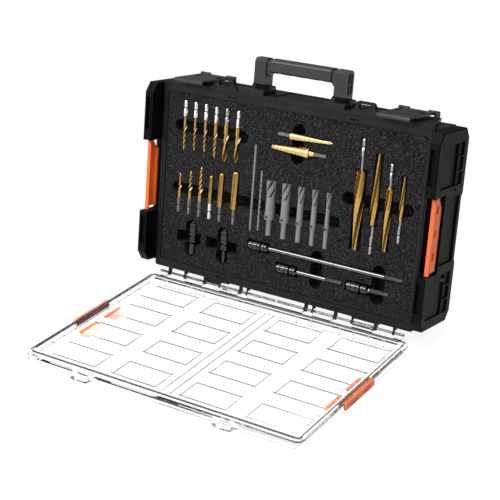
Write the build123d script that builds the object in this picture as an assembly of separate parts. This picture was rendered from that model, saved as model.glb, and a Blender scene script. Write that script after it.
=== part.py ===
"""Impact driver bit set in a leaning, opened organiser case, in millimetres.

The case frame has x to the right, y into the case and z up along the foam, with its origin
at the middle of the rim's lower edge. The lid frame lies on the floor. The part's own frame
is +Z up, with its origin at the middle of the lid's flat outer face.
"""
from build123d import *
from math import cos, pi, radians, sin
import os

# Stance: the lid lies flat, the case leans back on its feet
LEAN = 10.62
HINGE_Y = 2.0
HINGE_Z = -9.5
HINGE_UP = 19.5

# Fits
RUNNING = 0.05
GAP = 0.35
SOFT_GAP = 0.3

# Case shell
CASE_W = 510.0
CASE_H = 331.0
CASE_D = 78.0
BACK_WALL = 3.0
RIM_SIDE = 8.6
RIM_LOW = 12.5
RIM_TOP = 17.0
CORE_DEPTH = 18.0
SKIN = 2.2
CASE_R = 4.0
MOUTH_R = 6.0
RIDGE_R = 8.0
SEAL_R = 9.0
RIDGE_W = 1.6
RIDGE_UP = 1.2
SEAL_IN = 3.5
SEAL_IN_TOP = 5.7
CORE_PITCH = 42.0
TOP_END_X = CASE_W / 2 - 26.0
PANEL_DEEP = 1.6

# Foam
FOAM_Y = 2.0
SLOT_DEEP = 24.0
ADAPTOR_SINK = 8.5

# Hinge
ROD_R = 2.0
KNUCKLE_R = 6.0
ROD_END = CASE_W / 2 - 14.0
ROD_MEET = 2.0
LID_KNUCKLES = ((CASE_W / 2 - 29.0, CASE_W / 2 - 15.0), (150.0, 186.5), (75.5, 111.5))
MID_KNUCKLE = 55.0
CASE_KNUCKLE_W = 4.5
CASE_KNUCKLE_R = 4.2
KNUCKLE_GAP = 0.4

# Feet on the hinge side
FOOT_X = 150.0
FOOT_W = 44.0
FOOT_Y0 = 30.0
FOOT_Y1 = 76.0

# Lid
LID_W = CASE_W + 6.0
LID_L0 = 8.0
LID_L1 = CASE_H + 12.0
LID_RIM_W = 10.6
LID_PLATE = 3.0
LID_R = 15.0
LID_DRAFT = 14.0
SEAL_W = 4.4
SEAL_GROOVE = 5.2
SEAL_LOW = 1.9
CHANNEL_W = 5.6
CHANNEL_UP = 9.0
BOSS_UP = 1.5
BOSS_X = ((21.5, 108.5), (141.0, 234.0))
BOSS_L0 = 26.0
BOSS_L = 48.0
BOSS_PITCH = 78.5
SPINE_X = 7.0
SPINE_UP = 2.4

# Side catches on the lid
CATCH_MID = 176.0
CATCH_LEN = 86.0
CATCH_T = 5.2
CATCH_PROUD = 2.4

# Side rails
RAIL_OUT = CASE_W / 2 + 23.5
RAIL_IN = CASE_W / 2 + 6.4
RAIL_FRONT = -24.6
RAIL_BACK = 81.0
RAIL_LOW = 8.6
RAIL_TOP = CASE_H - 6.0
RAIL_STEP_Y = 3.0
RAIL_CH_Y = 11.5
RAIL_CH_Z = 16.0
RAIL_SLOTS = ((40.0, 90.0), (244.0, 300.0))
RAIL_SLOT_DEEP = 5.0
RAIL_PANELS = ((26.0, 94.0), (236.0, 304.0))
RAIL_PANEL_DEEP = 3.0
RAIL_RIB = 2.0
RAIL_SKIN = 3.0
RAIL_CORES = ((26.0, 66.0), (98.0, 150.0), (158.0, 212.0), (246.0, 304.0))
RAIL_CORE_Y = (20.0, 68.0)
SCREW_Z = (82.0, 230.0)
SCREW_R = 1.6
SCREW_HEAD_R = 2.9
SCREW_HEAD_T = 2.0
SCREW_LEN = 16.0

# Side latches in the rails
SLAT_LOW = 104.0
SLAT_TOP = 224.0
SLAT_T = 3.6
SLAT_FRONT = -12.0
SLAT_OUT = RAIL_OUT - 2.5
SLAT_BACK = 8.5
SLAT_BAY = 4.0
SLAT_FACE = 6.5
SLAT_PIN_X = SLAT_OUT - 4.5
SLAT_PIN_R = 1.5
SLAT_BARREL_R = 3.4
SLAT_SLOTS = (129.0, 166.5, 204.0)

# Top latches
LATCH_X = CASE_W / 2 - 62.0
LATCH_W = 58.0
LATCH_T = 4.0
LATCH_PIN_Y = 69.0
LATCH_UP = 7.6
LATCH_FRONT = -21.6
LATCH_HOOK = 2.4
LATCH_RELIEF = 1.1
LATCH_BARREL_R = 3.8
LATCH_PIN_R = 1.5

# Padlock eyes
EYE_X = 133.0
EYE_W = 35.0
EYE_UP = 18.5
EYE_T = 7.0
EYE_ROOT = 3.2
EYE_FLANK = 8.0
EYE_FLANK_UP = 12.0
LID_LOOP_UP = 5.5
EYE_HOLE_W = 24.0
EYE_HOLE_H = 9.5

# Carrying handle
HANDLE_W = 176.0
LEG_X = 76.0
LEG_W = 22.0
LEG_FOOT_R = 7.2
HANDLE_FRONT = 17.0
HANDLE_BACK = 41.0
PIVOT_Y = 33.0
PIVOT_Z = CASE_H + 8.0
HANDLE_TOP = CASE_H + 58.5
GRIP_LOW = CASE_H + 36.0
GRIP_SKIN = 2.4
HANDLE_PIN_R = 2.5
LUG_W = 9.0
LUG_R = 5.6

# Tools: hex drive shank of 1/4 inch, and how deep each axis lies under the foam's face
HEX_AF = 6.35
AXIS_IN = 1.0
POCKET_CLEAR = 0.6
MOUTH_ROOM = 4.2
RING_W = 1.4
RING_CUT = 0.5

# Quick chucks and their sleeves
CHUCK_R = 8.2
CHUCK_TAIL = 28.0
SLEEVE_R = 8.6
SLEEVE_LEN = 21.5
SLEEVE_TRAVEL = 3.0
SLEEVE_SEAT_R = 5.4
SOCKET_DEEP = 20.0

# Derived places
RISE = CASE_H - RIM_TOP
TOP_Z = CASE_H
LID_MID = (LID_L0 + LID_L1) / 2
SEAL_PLANE = HINGE_UP - HINGE_Y
LID_TOP = SEAL_PLANE - GAP
HEX_R = HEX_AF / 2 / cos(radians(30))
LATCH_PIN_Z = CASE_H + LATCH_UP


def in_case(shape):
    """Case frame to the part's frame: the case leans back about the hinge."""
    lean = Pos(0, LID_MID, HINGE_UP) * Rot(X=-LEAN) * Pos(0, -HINGE_Y, -HINGE_Z)
    return lean * shape


def block(x0, x1, y0, y1, z0, z1):
    """A box between two corners."""
    centre = Pos((x0 + x1) / 2, (y0 + y1) / 2, (z0 + z1) / 2)
    return centre * Box(abs(x1 - x0), abs(y1 - y0), abs(z1 - z0))


def lid_block(x0, x1, l0, l1, h0, h1):
    """A box in the lid frame: l is the distance out from the hinge, h the height."""
    return block(x0, x1, LID_MID - l1, LID_MID - l0, h0, h1)


def along_y(sketch, y0, y1):
    """A sketch in x and z, as a solid from y0 to y1."""
    return extrude(Pos(0, y1, 0) * (Plane.XZ * sketch), amount=y1 - y0)


def along_x(sketch, x0, x1):
    """A sketch in y and z, as a solid from x0 to x1."""
    return extrude(Pos(x0, 0, 0) * (Plane.YZ * sketch), amount=x1 - x0)


def along_z(sketch, z0, z1):
    """A sketch in x and y, as a solid from z0 to z1."""
    return extrude(Pos(0, 0, z0) * sketch, amount=z1 - z0)


def outline(*points):
    """A face inside straight lines through the points."""
    return make_face(Polyline(*points, close=True))


def rod_x(radius, x0, x1, y, z):
    """A cylinder along x."""
    return Pos((x0 + x1) / 2, y, z) * Rot(Y=90) * Cylinder(radius, x1 - x0)


def rod_z(radius, x, y, z0, z1):
    """A cylinder along z."""
    return Pos(x, y, (z0 + z1) / 2) * Cylinder(radius, z1 - z0)


def both_sides(shape):
    """The shape and its mirror image about x = 0."""
    return shape + mirror(shape, about=Plane.YZ)


def pill(x0, x1, z0, z1, y0, y1):
    """A slot with round ends, longer along x or along z."""
    width, height = x1 - x0, z1 - z0
    radius = min(width, height) / 2 - 0.01
    sketch = Pos((x0 + x1) / 2, (z0 + z1) / 2) * RectangleRounded(width, height, radius)
    return along_y(sketch, y0, y1)


def frame_sketch(width, z0, z1, radius):
    """A rounded rectangle in x and z, centred on x = 0."""
    return Pos(0, (z0 + z1) / 2) * RectangleRounded(width, z1 - z0, radius)


# Case shell

def rim_cores():
    """Coring pockets in the back of the thick rim, which leave ribs between them."""
    cores = []
    y0, y1 = CORE_DEPTH, CASE_D + 1
    top0, top1 = RISE + SKIN, CASE_H - SKIN
    low0, low1 = SKIN, RIM_LOW - SKIN
    side0, side1 = CASE_W / 2 - RIM_SIDE + SKIN, CASE_W / 2 - SKIN
    count = int((CASE_W - 2 * CASE_R - 10) // CORE_PITCH)
    for i in range(count):
        x = (i - (count - 1) / 2) * CORE_PITCH
        half = CORE_PITCH / 2 - SKIN / 2
        cores.append(block(x - half, x + half, y0, y1, top0, top1))
        cores.append(block(x - half, x + half, y0, y1, low0, low1))
    rows = int((RISE - RIM_LOW - 10) // CORE_PITCH)
    middle = (RISE + RIM_LOW) / 2
    for i in range(rows):
        z = middle + (i - (rows - 1) / 2) * CORE_PITCH
        half = CORE_PITCH / 2 - SKIN / 2
        cores.append(both_sides(block(side0, side1, y0, y1, z - half, z + half)))
    return cores


def rim_ridge():
    """The raised line that presses into the lid's seal."""
    inset = SEAL_IN
    outer = frame_sketch(CASE_W - 2 * inset + RIDGE_W, inset - RIDGE_W / 2,
                         CASE_H - SEAL_IN_TOP + RIDGE_W / 2, RIDGE_R)
    inner = frame_sketch(CASE_W - 2 * inset - RIDGE_W, inset + RIDGE_W / 2,
                         CASE_H - SEAL_IN_TOP - RIDGE_W / 2, RIDGE_R - RIDGE_W)
    return along_y(outer - inner, -RIDGE_UP, 1)


def case_knuckles():
    """Black knuckles and their webs, one at each end of each gap between lid knuckles."""
    knuckles = []
    edges = [(hi + KNUCKLE_GAP, 1) for _, hi in LID_KNUCKLES[1:]] + [(MID_KNUCKLE + KNUCKLE_GAP, 1)]
    edges += [(lo - KNUCKLE_GAP, -1) for lo, _ in LID_KNUCKLES]
    for x, way in edges:
        x0, x1 = sorted((x, x + way * CASE_KNUCKLE_W))
        barrel = rod_x(CASE_KNUCKLE_R, x0, x1, HINGE_Y, HINGE_Z)
        web = block(x0, x1, GAP + 0.2, HINGE_Y + CASE_KNUCKLE_R, HINGE_Z, RIM_LOW / 2)
        knuckles.append(barrel + web)
    return both_sides(knuckles[0] + knuckles[1:])


def case_feet():
    """Standing feet, cut so that their soles lie on the floor when the case leans back."""
    drop = HINGE_UP / cos(radians(LEAN))
    slope = sin(radians(LEAN)) / cos(radians(LEAN))

    def sole(y):
        return HINGE_Z - drop + (y - HINGE_Y) * slope

    side = outline((FOOT_Y0, 1), (FOOT_Y0 + 6, sole(FOOT_Y0 + 6)), (FOOT_Y1, sole(FOOT_Y1)),
                   (FOOT_Y1, 1))
    return both_sides(along_x(side, FOOT_X - FOOT_W / 2, FOOT_X + FOOT_W / 2))


def handle_ears():
    """Lugs either side of each handle leg, on a low pad at the front."""
    parts = []
    inner = LEG_X - LEG_W / 2 - GAP
    outer = LEG_X + LEG_W / 2 + GAP
    side = Pos(PIVOT_Y, PIVOT_Z) * Circle(LUG_R)
    side += outline((PIVOT_Y - LUG_R, TOP_Z - 1), (PIVOT_Y + LUG_R, TOP_Z - 1),
                    (PIVOT_Y + LUG_R, PIVOT_Z), (PIVOT_Y - LUG_R, PIVOT_Z))
    for x0, x1 in ((inner - LUG_W, inner), (outer, outer + LUG_W)):
        parts.append(along_x(side, x0, x1))
    pad = outline((0, TOP_Z - 1), (HANDLE_FRONT + 3, TOP_Z - 1), (HANDLE_FRONT - 1, PIVOT_Z),
                  (2, PIVOT_Z), (0, PIVOT_Z - 2))
    parts.append(along_x(pad, inner - LUG_W, outer + LUG_W))
    for x0, x1 in ((inner - LUG_W, inner), (outer, outer + LUG_W)):
        parts.append(block(x0, x1, HANDLE_FRONT - 2, PIVOT_Y, TOP_Z - 1, PIVOT_Z - 3))
    return both_sides(parts[0] + parts[1:])


def latch_lugs():
    """Brackets for the pins of the top latches."""
    half = LATCH_W / 2
    side = Pos(LATCH_PIN_Y, LATCH_PIN_Z) * Circle(LATCH_BARREL_R)
    side += outline((LATCH_PIN_Y - LATCH_BARREL_R - 5, TOP_Z - 1),
                    (LATCH_PIN_Y + LATCH_BARREL_R, TOP_Z - 1),
                    (LATCH_PIN_Y + LATCH_BARREL_R, LATCH_PIN_Z),
                    (LATCH_PIN_Y - LATCH_BARREL_R, LATCH_PIN_Z))
    left = along_x(side, LATCH_X - half - GAP - 6, LATCH_X - half - GAP)
    right = along_x(side, LATCH_X + half + GAP, LATCH_X + half + GAP + 6)
    return both_sides(left + right)


def eye_sketch():
    """A padlock loop in x and z, with its oval hole, standing on z = 0."""
    loop = Pos(EYE_X, (EYE_UP - EYE_ROOT) / 2) * RectangleRounded(EYE_W, EYE_UP + EYE_ROOT, 6)
    low, top = EYE_W / 2 + EYE_FLANK, EYE_W / 2 - 2
    loop += outline((EYE_X - low, -1), (EYE_X + low, -1), (EYE_X + low, 0.6),
                    (EYE_X + top, EYE_FLANK_UP), (EYE_X - top, EYE_FLANK_UP), (EYE_X - low, 0.6))
    hole = Pos(EYE_X, EYE_UP - 4 - EYE_HOLE_H / 2)
    hole = hole * RectangleRounded(EYE_HOLE_W, EYE_HOLE_H, EYE_HOLE_H / 2 - 0.01)
    return loop - hole


def rim_notches():
    """Small slots in the rim face above and below the foam."""
    cuts = []
    for x0, x1 in ((113.0, 124.0), (108.0, 111.0)):
        cuts.append(both_sides(block(x0, x1, -1, 3, RISE + 3.2, RISE + 6.4)))
        cuts.append(both_sides(block(x0, x1, -1, 3, RIM_LOW - 7.4, RIM_LOW - 4.4)))
    return cuts


def corner_cut():
    """The top wall ends short of its rear corners, level with the rails' tops."""
    plan = outline((CASE_W / 2 + 1, 6), (CASE_W / 2 + 1, CASE_D + 1),
                   (TOP_END_X, CASE_D + 1), (TOP_END_X + 4, CASE_D - 16), (CASE_W / 2 - 4, 6))
    return both_sides(along_z(plan, RAIL_TOP, CASE_H + 1))


def make_case_shell():
    """The tub, with everything moulded on it."""
    shell = along_y(frame_sketch(CASE_W, 0, CASE_H, CASE_R), 0, CASE_D)
    shell -= along_y(frame_sketch(CASE_W - 2 * RIM_SIDE, RIM_LOW, RISE, MOUTH_R),
                     -1, CASE_D - BACK_WALL)
    shell -= rim_cores()
    shell -= corner_cut()
    shell -= rim_notches()
    shell -= [block(-44, 44, 10, CASE_D - 8, TOP_Z - PANEL_DEEP, TOP_Z + 1),
              both_sides(block(104, 156, 10, CASE_D - 8, TOP_Z - PANEL_DEEP, TOP_Z + 1))]
    shell += rim_ridge()
    shell += case_knuckles()
    shell += case_feet()
    shell += handle_ears()
    shell += latch_lugs()
    shell += both_sides(Pos(0, 0, TOP_Z) * along_y(eye_sketch(), 0, EYE_T))
    shell -= rod_x(ROD_R + RUNNING, -ROD_END - 1, ROD_END + 1, HINGE_Y, HINGE_Z)
    pin = HANDLE_PIN_R + RUNNING
    span = LEG_X + LEG_W / 2 + LUG_W + 2
    shell -= both_sides(rod_x(pin, LEG_X - LEG_W / 2 - LUG_W - 2, span, PIVOT_Y, PIVOT_Z))
    reach = LATCH_W / 2 + 8
    shell -= both_sides(rod_x(LATCH_PIN_R + RUNNING, LATCH_X - reach, LATCH_X + reach,
                              LATCH_PIN_Y, LATCH_PIN_Z))
    for z in SCREW_Z:
        hole = rod_x(SCREW_R, CASE_W / 2 - RIM_SIDE + 1.5, CASE_W / 2 + 1, CASE_D / 2 + 8, z)
        shell -= both_sides(hole)
    return shell


def make_hinge_rods():
    """Two steel rods, pushed in from the ends to the middle plate."""
    return [rod_x(ROD_R, -ROD_END, -ROD_MEET, HINGE_Y, HINGE_Z),
            rod_x(ROD_R, ROD_MEET, ROD_END, HINGE_Y, HINGE_Z)]


# Lid, in its own frame on the floor

def lid_sketch(inset, radius):
    """The lid's outline in plan, drawn in by inset."""
    centre = Pos(0, LID_MID - (LID_L0 + LID_L1) / 2)
    return centre * RectangleRounded(LID_W - 2 * inset, LID_L1 - LID_L0 - 2 * inset, radius)


def lid_cavity():
    """The tray inside the lid, with walls that slope outwards to the rim."""
    depth = LID_TOP - LID_PLATE + 0.5
    floor_inset = LID_RIM_W + depth * sin(radians(LID_DRAFT))
    bottom = Pos(0, 0, LID_PLATE) * lid_sketch(floor_inset, LID_R - 5)
    top = Pos(0, 0, LID_PLATE + depth) * lid_sketch(LID_RIM_W, LID_R - 5)
    return loft([bottom, top], ruled=True)


def seal_ring(width, radius, h0, h1):
    """A ring along the seal line, which mirrors the ridge on the case."""
    half_x = CASE_W / 2 - SEAL_IN
    l0 = SEAL_IN - HINGE_Z
    l1 = CASE_H - SEAL_IN_TOP - HINGE_Z
    centre = Pos(0, LID_MID - (l0 + l1) / 2)
    outer = centre * RectangleRounded(2 * half_x + width, l1 - l0 + width, radius)
    inner = centre * RectangleRounded(2 * half_x - width, l1 - l0 - width, radius - width)
    return along_z(outer - inner, h0, h1)


def boss_boxes(grow, h0, h1):
    """The sixteen pressed rectangles in the plate."""
    boxes = []
    for row in range(4):
        l0 = BOSS_L0 + row * BOSS_PITCH
        for x0, x1 in BOSS_X:
            boxes.append(both_sides(lid_block(x0 - grow, x1 + grow, l0 - grow,
                                              l0 + BOSS_L + grow, h0, h1)))
    return boxes


def lid_knuckles():
    """Clear knuckles and their arms."""
    spans = list(LID_KNUCKLES) + [(-hi, -lo) for lo, hi in LID_KNUCKLES]
    spans.append((-MID_KNUCKLE, MID_KNUCKLE))
    parts = []
    for x0, x1 in spans:
        parts.append(rod_x(KNUCKLE_R, x0, x1, LID_MID, HINGE_UP))
        parts.append(lid_block(x0, x1, 0, LID_L0 + 1, HINGE_UP - KNUCKLE_R, LID_TOP))
    return parts


def lid_loops():
    """Padlock loops at the far edge, which meet the case's loops when the lid is shut."""
    stand = CASE_H - HINGE_Z
    loop = Rot(X=90) * along_y(eye_sketch(), LID_LOOP_UP, LID_LOOP_UP + EYE_T)
    return both_sides(Pos(0, LID_MID - stand, 0) * loop)


def catch_block(grow):
    """The side catch at the right, in a notch of the lid's wall."""
    x1 = LID_W / 2 + CATCH_PROUD
    return lid_block(x1 - CATCH_T, x1 + grow, CATCH_MID - CATCH_LEN / 2, CATCH_MID + CATCH_LEN / 2,
                     2.0, 14.5)


def make_lid_shell():
    """The clear lid: plate, sloped walls, rim with its seal groove, knuckles and lips."""
    shell = along_z(lid_sketch(0, LID_R), 0, LID_TOP)
    shell = chamfer(shell.faces().sort_by(Axis.Z)[0].edges(), 2.0)
    shell -= lid_cavity()
    shell += boss_boxes(0, LID_PLATE - 1, LID_PLATE + BOSS_UP)
    shell -= boss_boxes(-2.0, -1, BOSS_UP)
    shell += both_sides(lid_block(SPINE_X, SPINE_X + 2.2, LID_L0 + 12, LID_L1 - 12,
                                  LID_PLATE - 1, LID_PLATE + SPINE_UP))
    shell -= seal_ring(SEAL_W, SEAL_R, LID_TOP - SEAL_GROOVE, LID_TOP + 1)
    shell -= seal_ring(CHANNEL_W, SEAL_R, -1, CHANNEL_UP)
    shell += lid_knuckles()
    shell += lid_loops()
    shell -= both_sides(catch_block(5))
    shell -= rod_x(ROD_R + RUNNING, -ROD_END - 1, ROD_END + 1, LID_MID, HINGE_UP)
    return shell


def make_lid_seal():
    """The black cord in the groove, lower than the rim so that the ridge can press it."""
    return seal_ring(SEAL_W, SEAL_R, LID_TOP - SEAL_GROOVE, LID_TOP - SEAL_LOW)


def make_lid_catch():
    """The orange catch on the lid's right side, with two finger dents."""
    catch = catch_block(0)
    x1 = LID_W / 2 + CATCH_PROUD
    for offset in (-20, 20):
        middle = CATCH_MID + offset
        catch -= lid_block(x1 - 1.4, x1 + 1, middle - 12, middle + 12, 5, 11.5)
    return catch


# Side rails, drawn for the right side

def rail_outline():
    """The rail's side in y and z, with its bevelled corners and the step at the back."""
    back, front = RAIL_BACK, RAIL_FRONT
    dent = back - 4
    return outline((front, RAIL_LOW + RAIL_CH_Z), (front + RAIL_CH_Y, RAIL_LOW),
                   (back - RAIL_CH_Y, RAIL_LOW), (back, RAIL_LOW + RAIL_CH_Z),
                   (back, SLAT_LOW + 2), (dent, SLAT_LOW + 8), (dent, SLAT_TOP - 10),
                   (back, SLAT_TOP - 4), (back, RAIL_TOP - RAIL_CH_Z),
                   (back - RAIL_CH_Y, RAIL_TOP), (front + RAIL_CH_Y, RAIL_TOP),
                   (front, RAIL_TOP - RAIL_CH_Z))


def rail_panels():
    """Recessed panels in the outer side, each crossed by ribs."""
    cuts = []
    y0, y1 = RAIL_FRONT + 16, RAIL_BACK - 14
    split = y1 - 22
    for z0, z1 in RAIL_PANELS:
        cuts.append(block(RAIL_OUT - RAIL_PANEL_DEEP, RAIL_OUT + 1, y0, split, z0, z1))
        cell = (z1 - z0 - 2 * RAIL_RIB) / 3
        for i in range(3):
            a = z0 + i * (cell + RAIL_RIB)
            cuts.append(block(RAIL_OUT - RAIL_PANEL_DEEP, RAIL_OUT + 1, split + RAIL_RIB, y1,
                              a, a + cell))
    y2 = SLAT_BACK + SLAT_BARREL_R + 8
    cuts.append(block(RAIL_OUT - RAIL_PANEL_DEEP, RAIL_OUT + 1, y2, RAIL_BACK - 14,
                      SLAT_LOW + 6, SLAT_TOP - 6))
    return cuts


def make_rail():
    """The right rail."""
    rail = along_x(rail_outline(), CASE_W / 2, RAIL_OUT)
    edges = rail.faces().sort_by(Axis.X)[-1].edges()
    rail = chamfer(edges, 1.6)
    rail -= block(CASE_W / 2 - 1, RAIL_IN, RAIL_FRONT - 1, RAIL_STEP_Y, 0, CASE_H + 5)
    bay = SLAT_BACK + SLAT_BARREL_R + SLAT_BAY
    rail -= block(CASE_W / 2 - 1, RAIL_OUT + 1, RAIL_FRONT - 1, bay,
                  SLAT_LOW - 5 - GAP - 0.4, SLAT_TOP + GAP + 0.4)
    for z0, z1 in RAIL_SLOTS:
        rail -= block(RAIL_IN + 2.6, RAIL_OUT - 4.4, RAIL_FRONT - 1, RAIL_FRONT + RAIL_SLOT_DEEP,
                      z0, z1)
    rail -= rail_panels()
    deep = RAIL_OUT - RAIL_PANEL_DEEP - RAIL_SKIN
    for z0, z1 in RAIL_CORES:
        rail -= block(CASE_W / 2 - 1, deep, RAIL_CORE_Y[0], RAIL_CORE_Y[1], z0, z1)
    rail -= rod_z(SLAT_PIN_R + RUNNING, SLAT_PIN_X, SLAT_BACK, SLAT_LOW - 8, SLAT_TOP + 8)
    for z in SCREW_Z:
        y = CASE_D / 2 + 8
        rail -= rod_x(SCREW_R + RUNNING, CASE_W / 2 - 1, RAIL_OUT, y, z)
        rail -= rod_x(SCREW_HEAD_R, RAIL_OUT - RAIL_PANEL_DEEP - SCREW_HEAD_T, RAIL_OUT + 1, y, z)
    return rail


def make_rail_screws():
    """Four screws that hold the rails to the shell's sides."""
    screws = []
    for z in SCREW_Z:
        y = CASE_D / 2 + 8
        seat = RAIL_OUT - RAIL_PANEL_DEEP - SCREW_HEAD_T
        head = rod_x(SCREW_HEAD_R, seat, seat + SCREW_HEAD_T - 0.3, y, z)
        shank = rod_x(SCREW_R, CASE_W / 2 - RIM_SIDE + 1.5, seat, y, z)
        cross = block(seat + 0.9, seat + 4, y - 0.5, y + 0.5, z - 1.8, z + 1.8)
        cross += block(seat + 0.9, seat + 4, y - 1.8, y + 1.8, z - 0.5, z + 0.5)
        screws.append(head + shank - cross)
    screws += [mirror(s, about=Plane.YZ) for s in screws]
    return screws


def make_side_latch():
    """The right orange flap: front face, side face with three slots, barrel at its back edge."""
    front, out = SLAT_FRONT, SLAT_OUT
    z0, z1 = SLAT_LOW, SLAT_TOP
    face = block(out - SLAT_FACE, out, front, front + SLAT_T, z0 - 5, z1 - 3)
    arrow = outline((front, z0), (SLAT_BACK - 1, z0), (SLAT_BACK - 1, z1 - 14),
                    (front + 9, z1), (front, z1 - 3))
    side = along_x(arrow, out - SLAT_T, out)
    arm = block(SLAT_PIN_X, out, SLAT_BACK - SLAT_BARREL_R, SLAT_BACK + SLAT_BARREL_R - 1,
                z0, z1 - 16)
    flap = face + side + arm + rod_z(SLAT_BARREL_R, SLAT_PIN_X, SLAT_BACK, z0, z1 - 16)
    for z in SLAT_SLOTS:
        flap -= block(out - 2.2, out + 1, front + 5, front + 14, z - 6.5, z + 6.5)
    flap -= rod_z(SLAT_PIN_R + RUNNING, SLAT_PIN_X, SLAT_BACK, z0 - 1, z1 + 1)
    return flap


def make_side_latch_pins():
    """The steel pins of both side latches."""
    pin = rod_z(SLAT_PIN_R, SLAT_PIN_X, SLAT_BACK, SLAT_LOW - 7.5, SLAT_TOP + 7.5)
    return [pin, mirror(pin, about=Plane.YZ)]


# Top latches

def make_latch(x):
    """A latch plate at x, its hook just above the lid's path and relieved behind the hook."""
    y0, y1 = LATCH_FRONT, LATCH_PIN_Y
    z = LATCH_PIN_Z
    low, top = z - LATCH_T / 2, z + LATCH_T / 2
    lift = low + LATCH_RELIEF
    side = outline((y0 + 2.4, top), (y1, top), (y1, low), (4, low), (2, lift), (y0 + 3.6, lift),
                   (y0 + 3.3, low - LATCH_HOOK), (y0 + 0.4, low - LATCH_HOOK), (y0, top - 2.6))
    plate = along_x(side, x - LATCH_W / 2, x + LATCH_W / 2)
    plate += rod_x(LATCH_BARREL_R, x - LATCH_W / 2, x + LATCH_W / 2, LATCH_PIN_Y, LATCH_PIN_Z)
    split = y0 + 40
    plate -= block(x - LATCH_W / 2 - 1, x + LATCH_W / 2 + 1, split, split + 1.6, top - 1, top + 1)
    for way in (-1, 1):
        edge = x + way * (LATCH_W / 2 - 9)
        plate -= block(edge - 3, edge + 3, split + 10, y1 - 12, top - 1.4, top + 1)
    relief = block(x - LATCH_W / 2 + 12, x + LATCH_W / 2 - 12, y1 - 9, y1 + 6, low - 6, top + 6)
    plate -= relief
    plate -= rod_x(LATCH_PIN_R + RUNNING, x - LATCH_W, x + LATCH_W, LATCH_PIN_Y, LATCH_PIN_Z)
    return plate


def make_latch_pins():
    """The steel pins of both top latches."""
    half = LATCH_W / 2 + GAP + 5.6
    return [rod_x(LATCH_PIN_R, x - half, x + half, LATCH_PIN_Y, LATCH_PIN_Z)
            for x in (-LATCH_X, LATCH_X)]


# Handle

def make_handle_frame():
    """The U-shaped frame: two legs and the core bar inside the grip."""
    leg = outline((HANDLE_FRONT, PIVOT_Z + 8), (PIVOT_Y - 5, PIVOT_Z - 5),
                  (PIVOT_Y + 5, PIVOT_Z - 5), (HANDLE_BACK, PIVOT_Z + 4),
                  (HANDLE_BACK, HANDLE_TOP - 5), (HANDLE_BACK - 5, HANDLE_TOP),
                  (HANDLE_FRONT + 5, HANDLE_TOP), (HANDLE_FRONT, HANDLE_TOP - 5))
    leg += Pos(PIVOT_Y, PIVOT_Z) * Circle(LEG_FOOT_R)
    legs = both_sides(along_x(leg, LEG_X - LEG_W / 2, LEG_X + LEG_W / 2))
    core = block(-LEG_X, LEG_X, HANDLE_FRONT + GRIP_SKIN, HANDLE_BACK - GRIP_SKIN,
                 GRIP_LOW + GRIP_SKIN, HANDLE_TOP - GRIP_SKIN)
    frame = legs + core
    gusset = outline((LEG_X - LEG_W / 2 + 1, GRIP_LOW + GRIP_SKIN + 1),
                     (LEG_X - LEG_W / 2 + 1, GRIP_LOW - 9), (LEG_X - LEG_W / 2 - 7, GRIP_LOW),
                     (LEG_X - LEG_W / 2 - 7, GRIP_LOW + GRIP_SKIN + 1))
    frame += both_sides(along_y(gusset, HANDLE_FRONT + 3, HANDLE_BACK - 3))
    y_mid, z_mid = (HANDLE_FRONT + HANDLE_BACK) / 2, (HANDLE_TOP + PIVOT_Z) / 2 + 3
    dish = Pos(y_mid, z_mid) * RectangleRounded(15, 36, 7.4)
    rib = Pos(y_mid, z_mid) * (Rectangle(2, 40) + Rectangle(20, 2))
    frame -= both_sides(along_x(dish - rib, HANDLE_W / 2 - 2.5, HANDLE_W / 2 + 1))
    span = LEG_X + LEG_W / 2 + 1
    frame -= both_sides(rod_x(HANDLE_PIN_R + RUNNING, LEG_X - LEG_W / 2 - 1, span,
                              PIVOT_Y, PIVOT_Z))
    return frame


def make_handle_grip():
    """The soft grip around the core bar, with a gently waved underside."""
    half = LEG_X - LEG_W / 2 - 7.4
    body = Pos((HANDLE_FRONT + HANDLE_BACK) / 2, (GRIP_LOW + HANDLE_TOP) / 2)
    body = body * RectangleRounded(HANDLE_BACK - HANDLE_FRONT, HANDLE_TOP - GRIP_LOW, 5)
    grip = along_x(body, -half, half)
    grip -= block(-half - 1, half + 1, HANDLE_FRONT + GRIP_SKIN, HANDLE_BACK - GRIP_SKIN,
                  GRIP_LOW + GRIP_SKIN, HANDLE_TOP - GRIP_SKIN)
    for i in range(4):
        x = (i - 1.5) * 26
        wave = Pos(x, 0, GRIP_LOW - 19.2) * Rot(X=90) * Cylinder(20, 60)
        grip -= wave
    return grip


def make_handle_pins():
    """The pins at the feet of the legs."""
    x0 = LEG_X - LEG_W / 2 - LUG_W
    x1 = LEG_X + LEG_W / 2 + LUG_W
    pin = rod_x(HANDLE_PIN_R, x0, x1, PIVOT_Y, PIVOT_Z)
    return [pin, mirror(pin, about=Plane.YZ)]


# Tools, each made of segments along its own axis from the drive end:
# (form, length, first radius, last radius)

def fluted(length, r0, r1, flutes, turn, steps):
    """A tapered body with twisted flutes, lofted through turned sections."""
    pitch = 360 / flutes
    sections = []
    for i in range(steps + 1):
        share = i / steps
        radius = r0 + (r1 - r0) * share
        points = []
        for k in range(flutes):
            for at, reach in ((0.0, 1.0), (0.42, 1.0), (0.60, 0.70), (0.90, 0.70)):
                angle = radians(k * pitch + at * pitch + turn * share)
                points.append((radius * reach * cos(angle), radius * reach * sin(angle)))
        sections.append(Pos(0, 0, length * share) * outline(*points))
    return loft(sections, ruled=True)


def hex_shank(length):
    """A hex drive end with the ring groove near its end."""
    shank = extrude(RegularPolygon(HEX_R, 6), amount=length)
    ring_at = min(13.0, length / 2)
    outer = Pos(0, 0, ring_at) * Cylinder(HEX_R + 1, RING_W)
    return shank - (outer - Pos(0, 0, ring_at) * Cylinder(HEX_AF / 2 - RING_CUT, RING_W))


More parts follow.
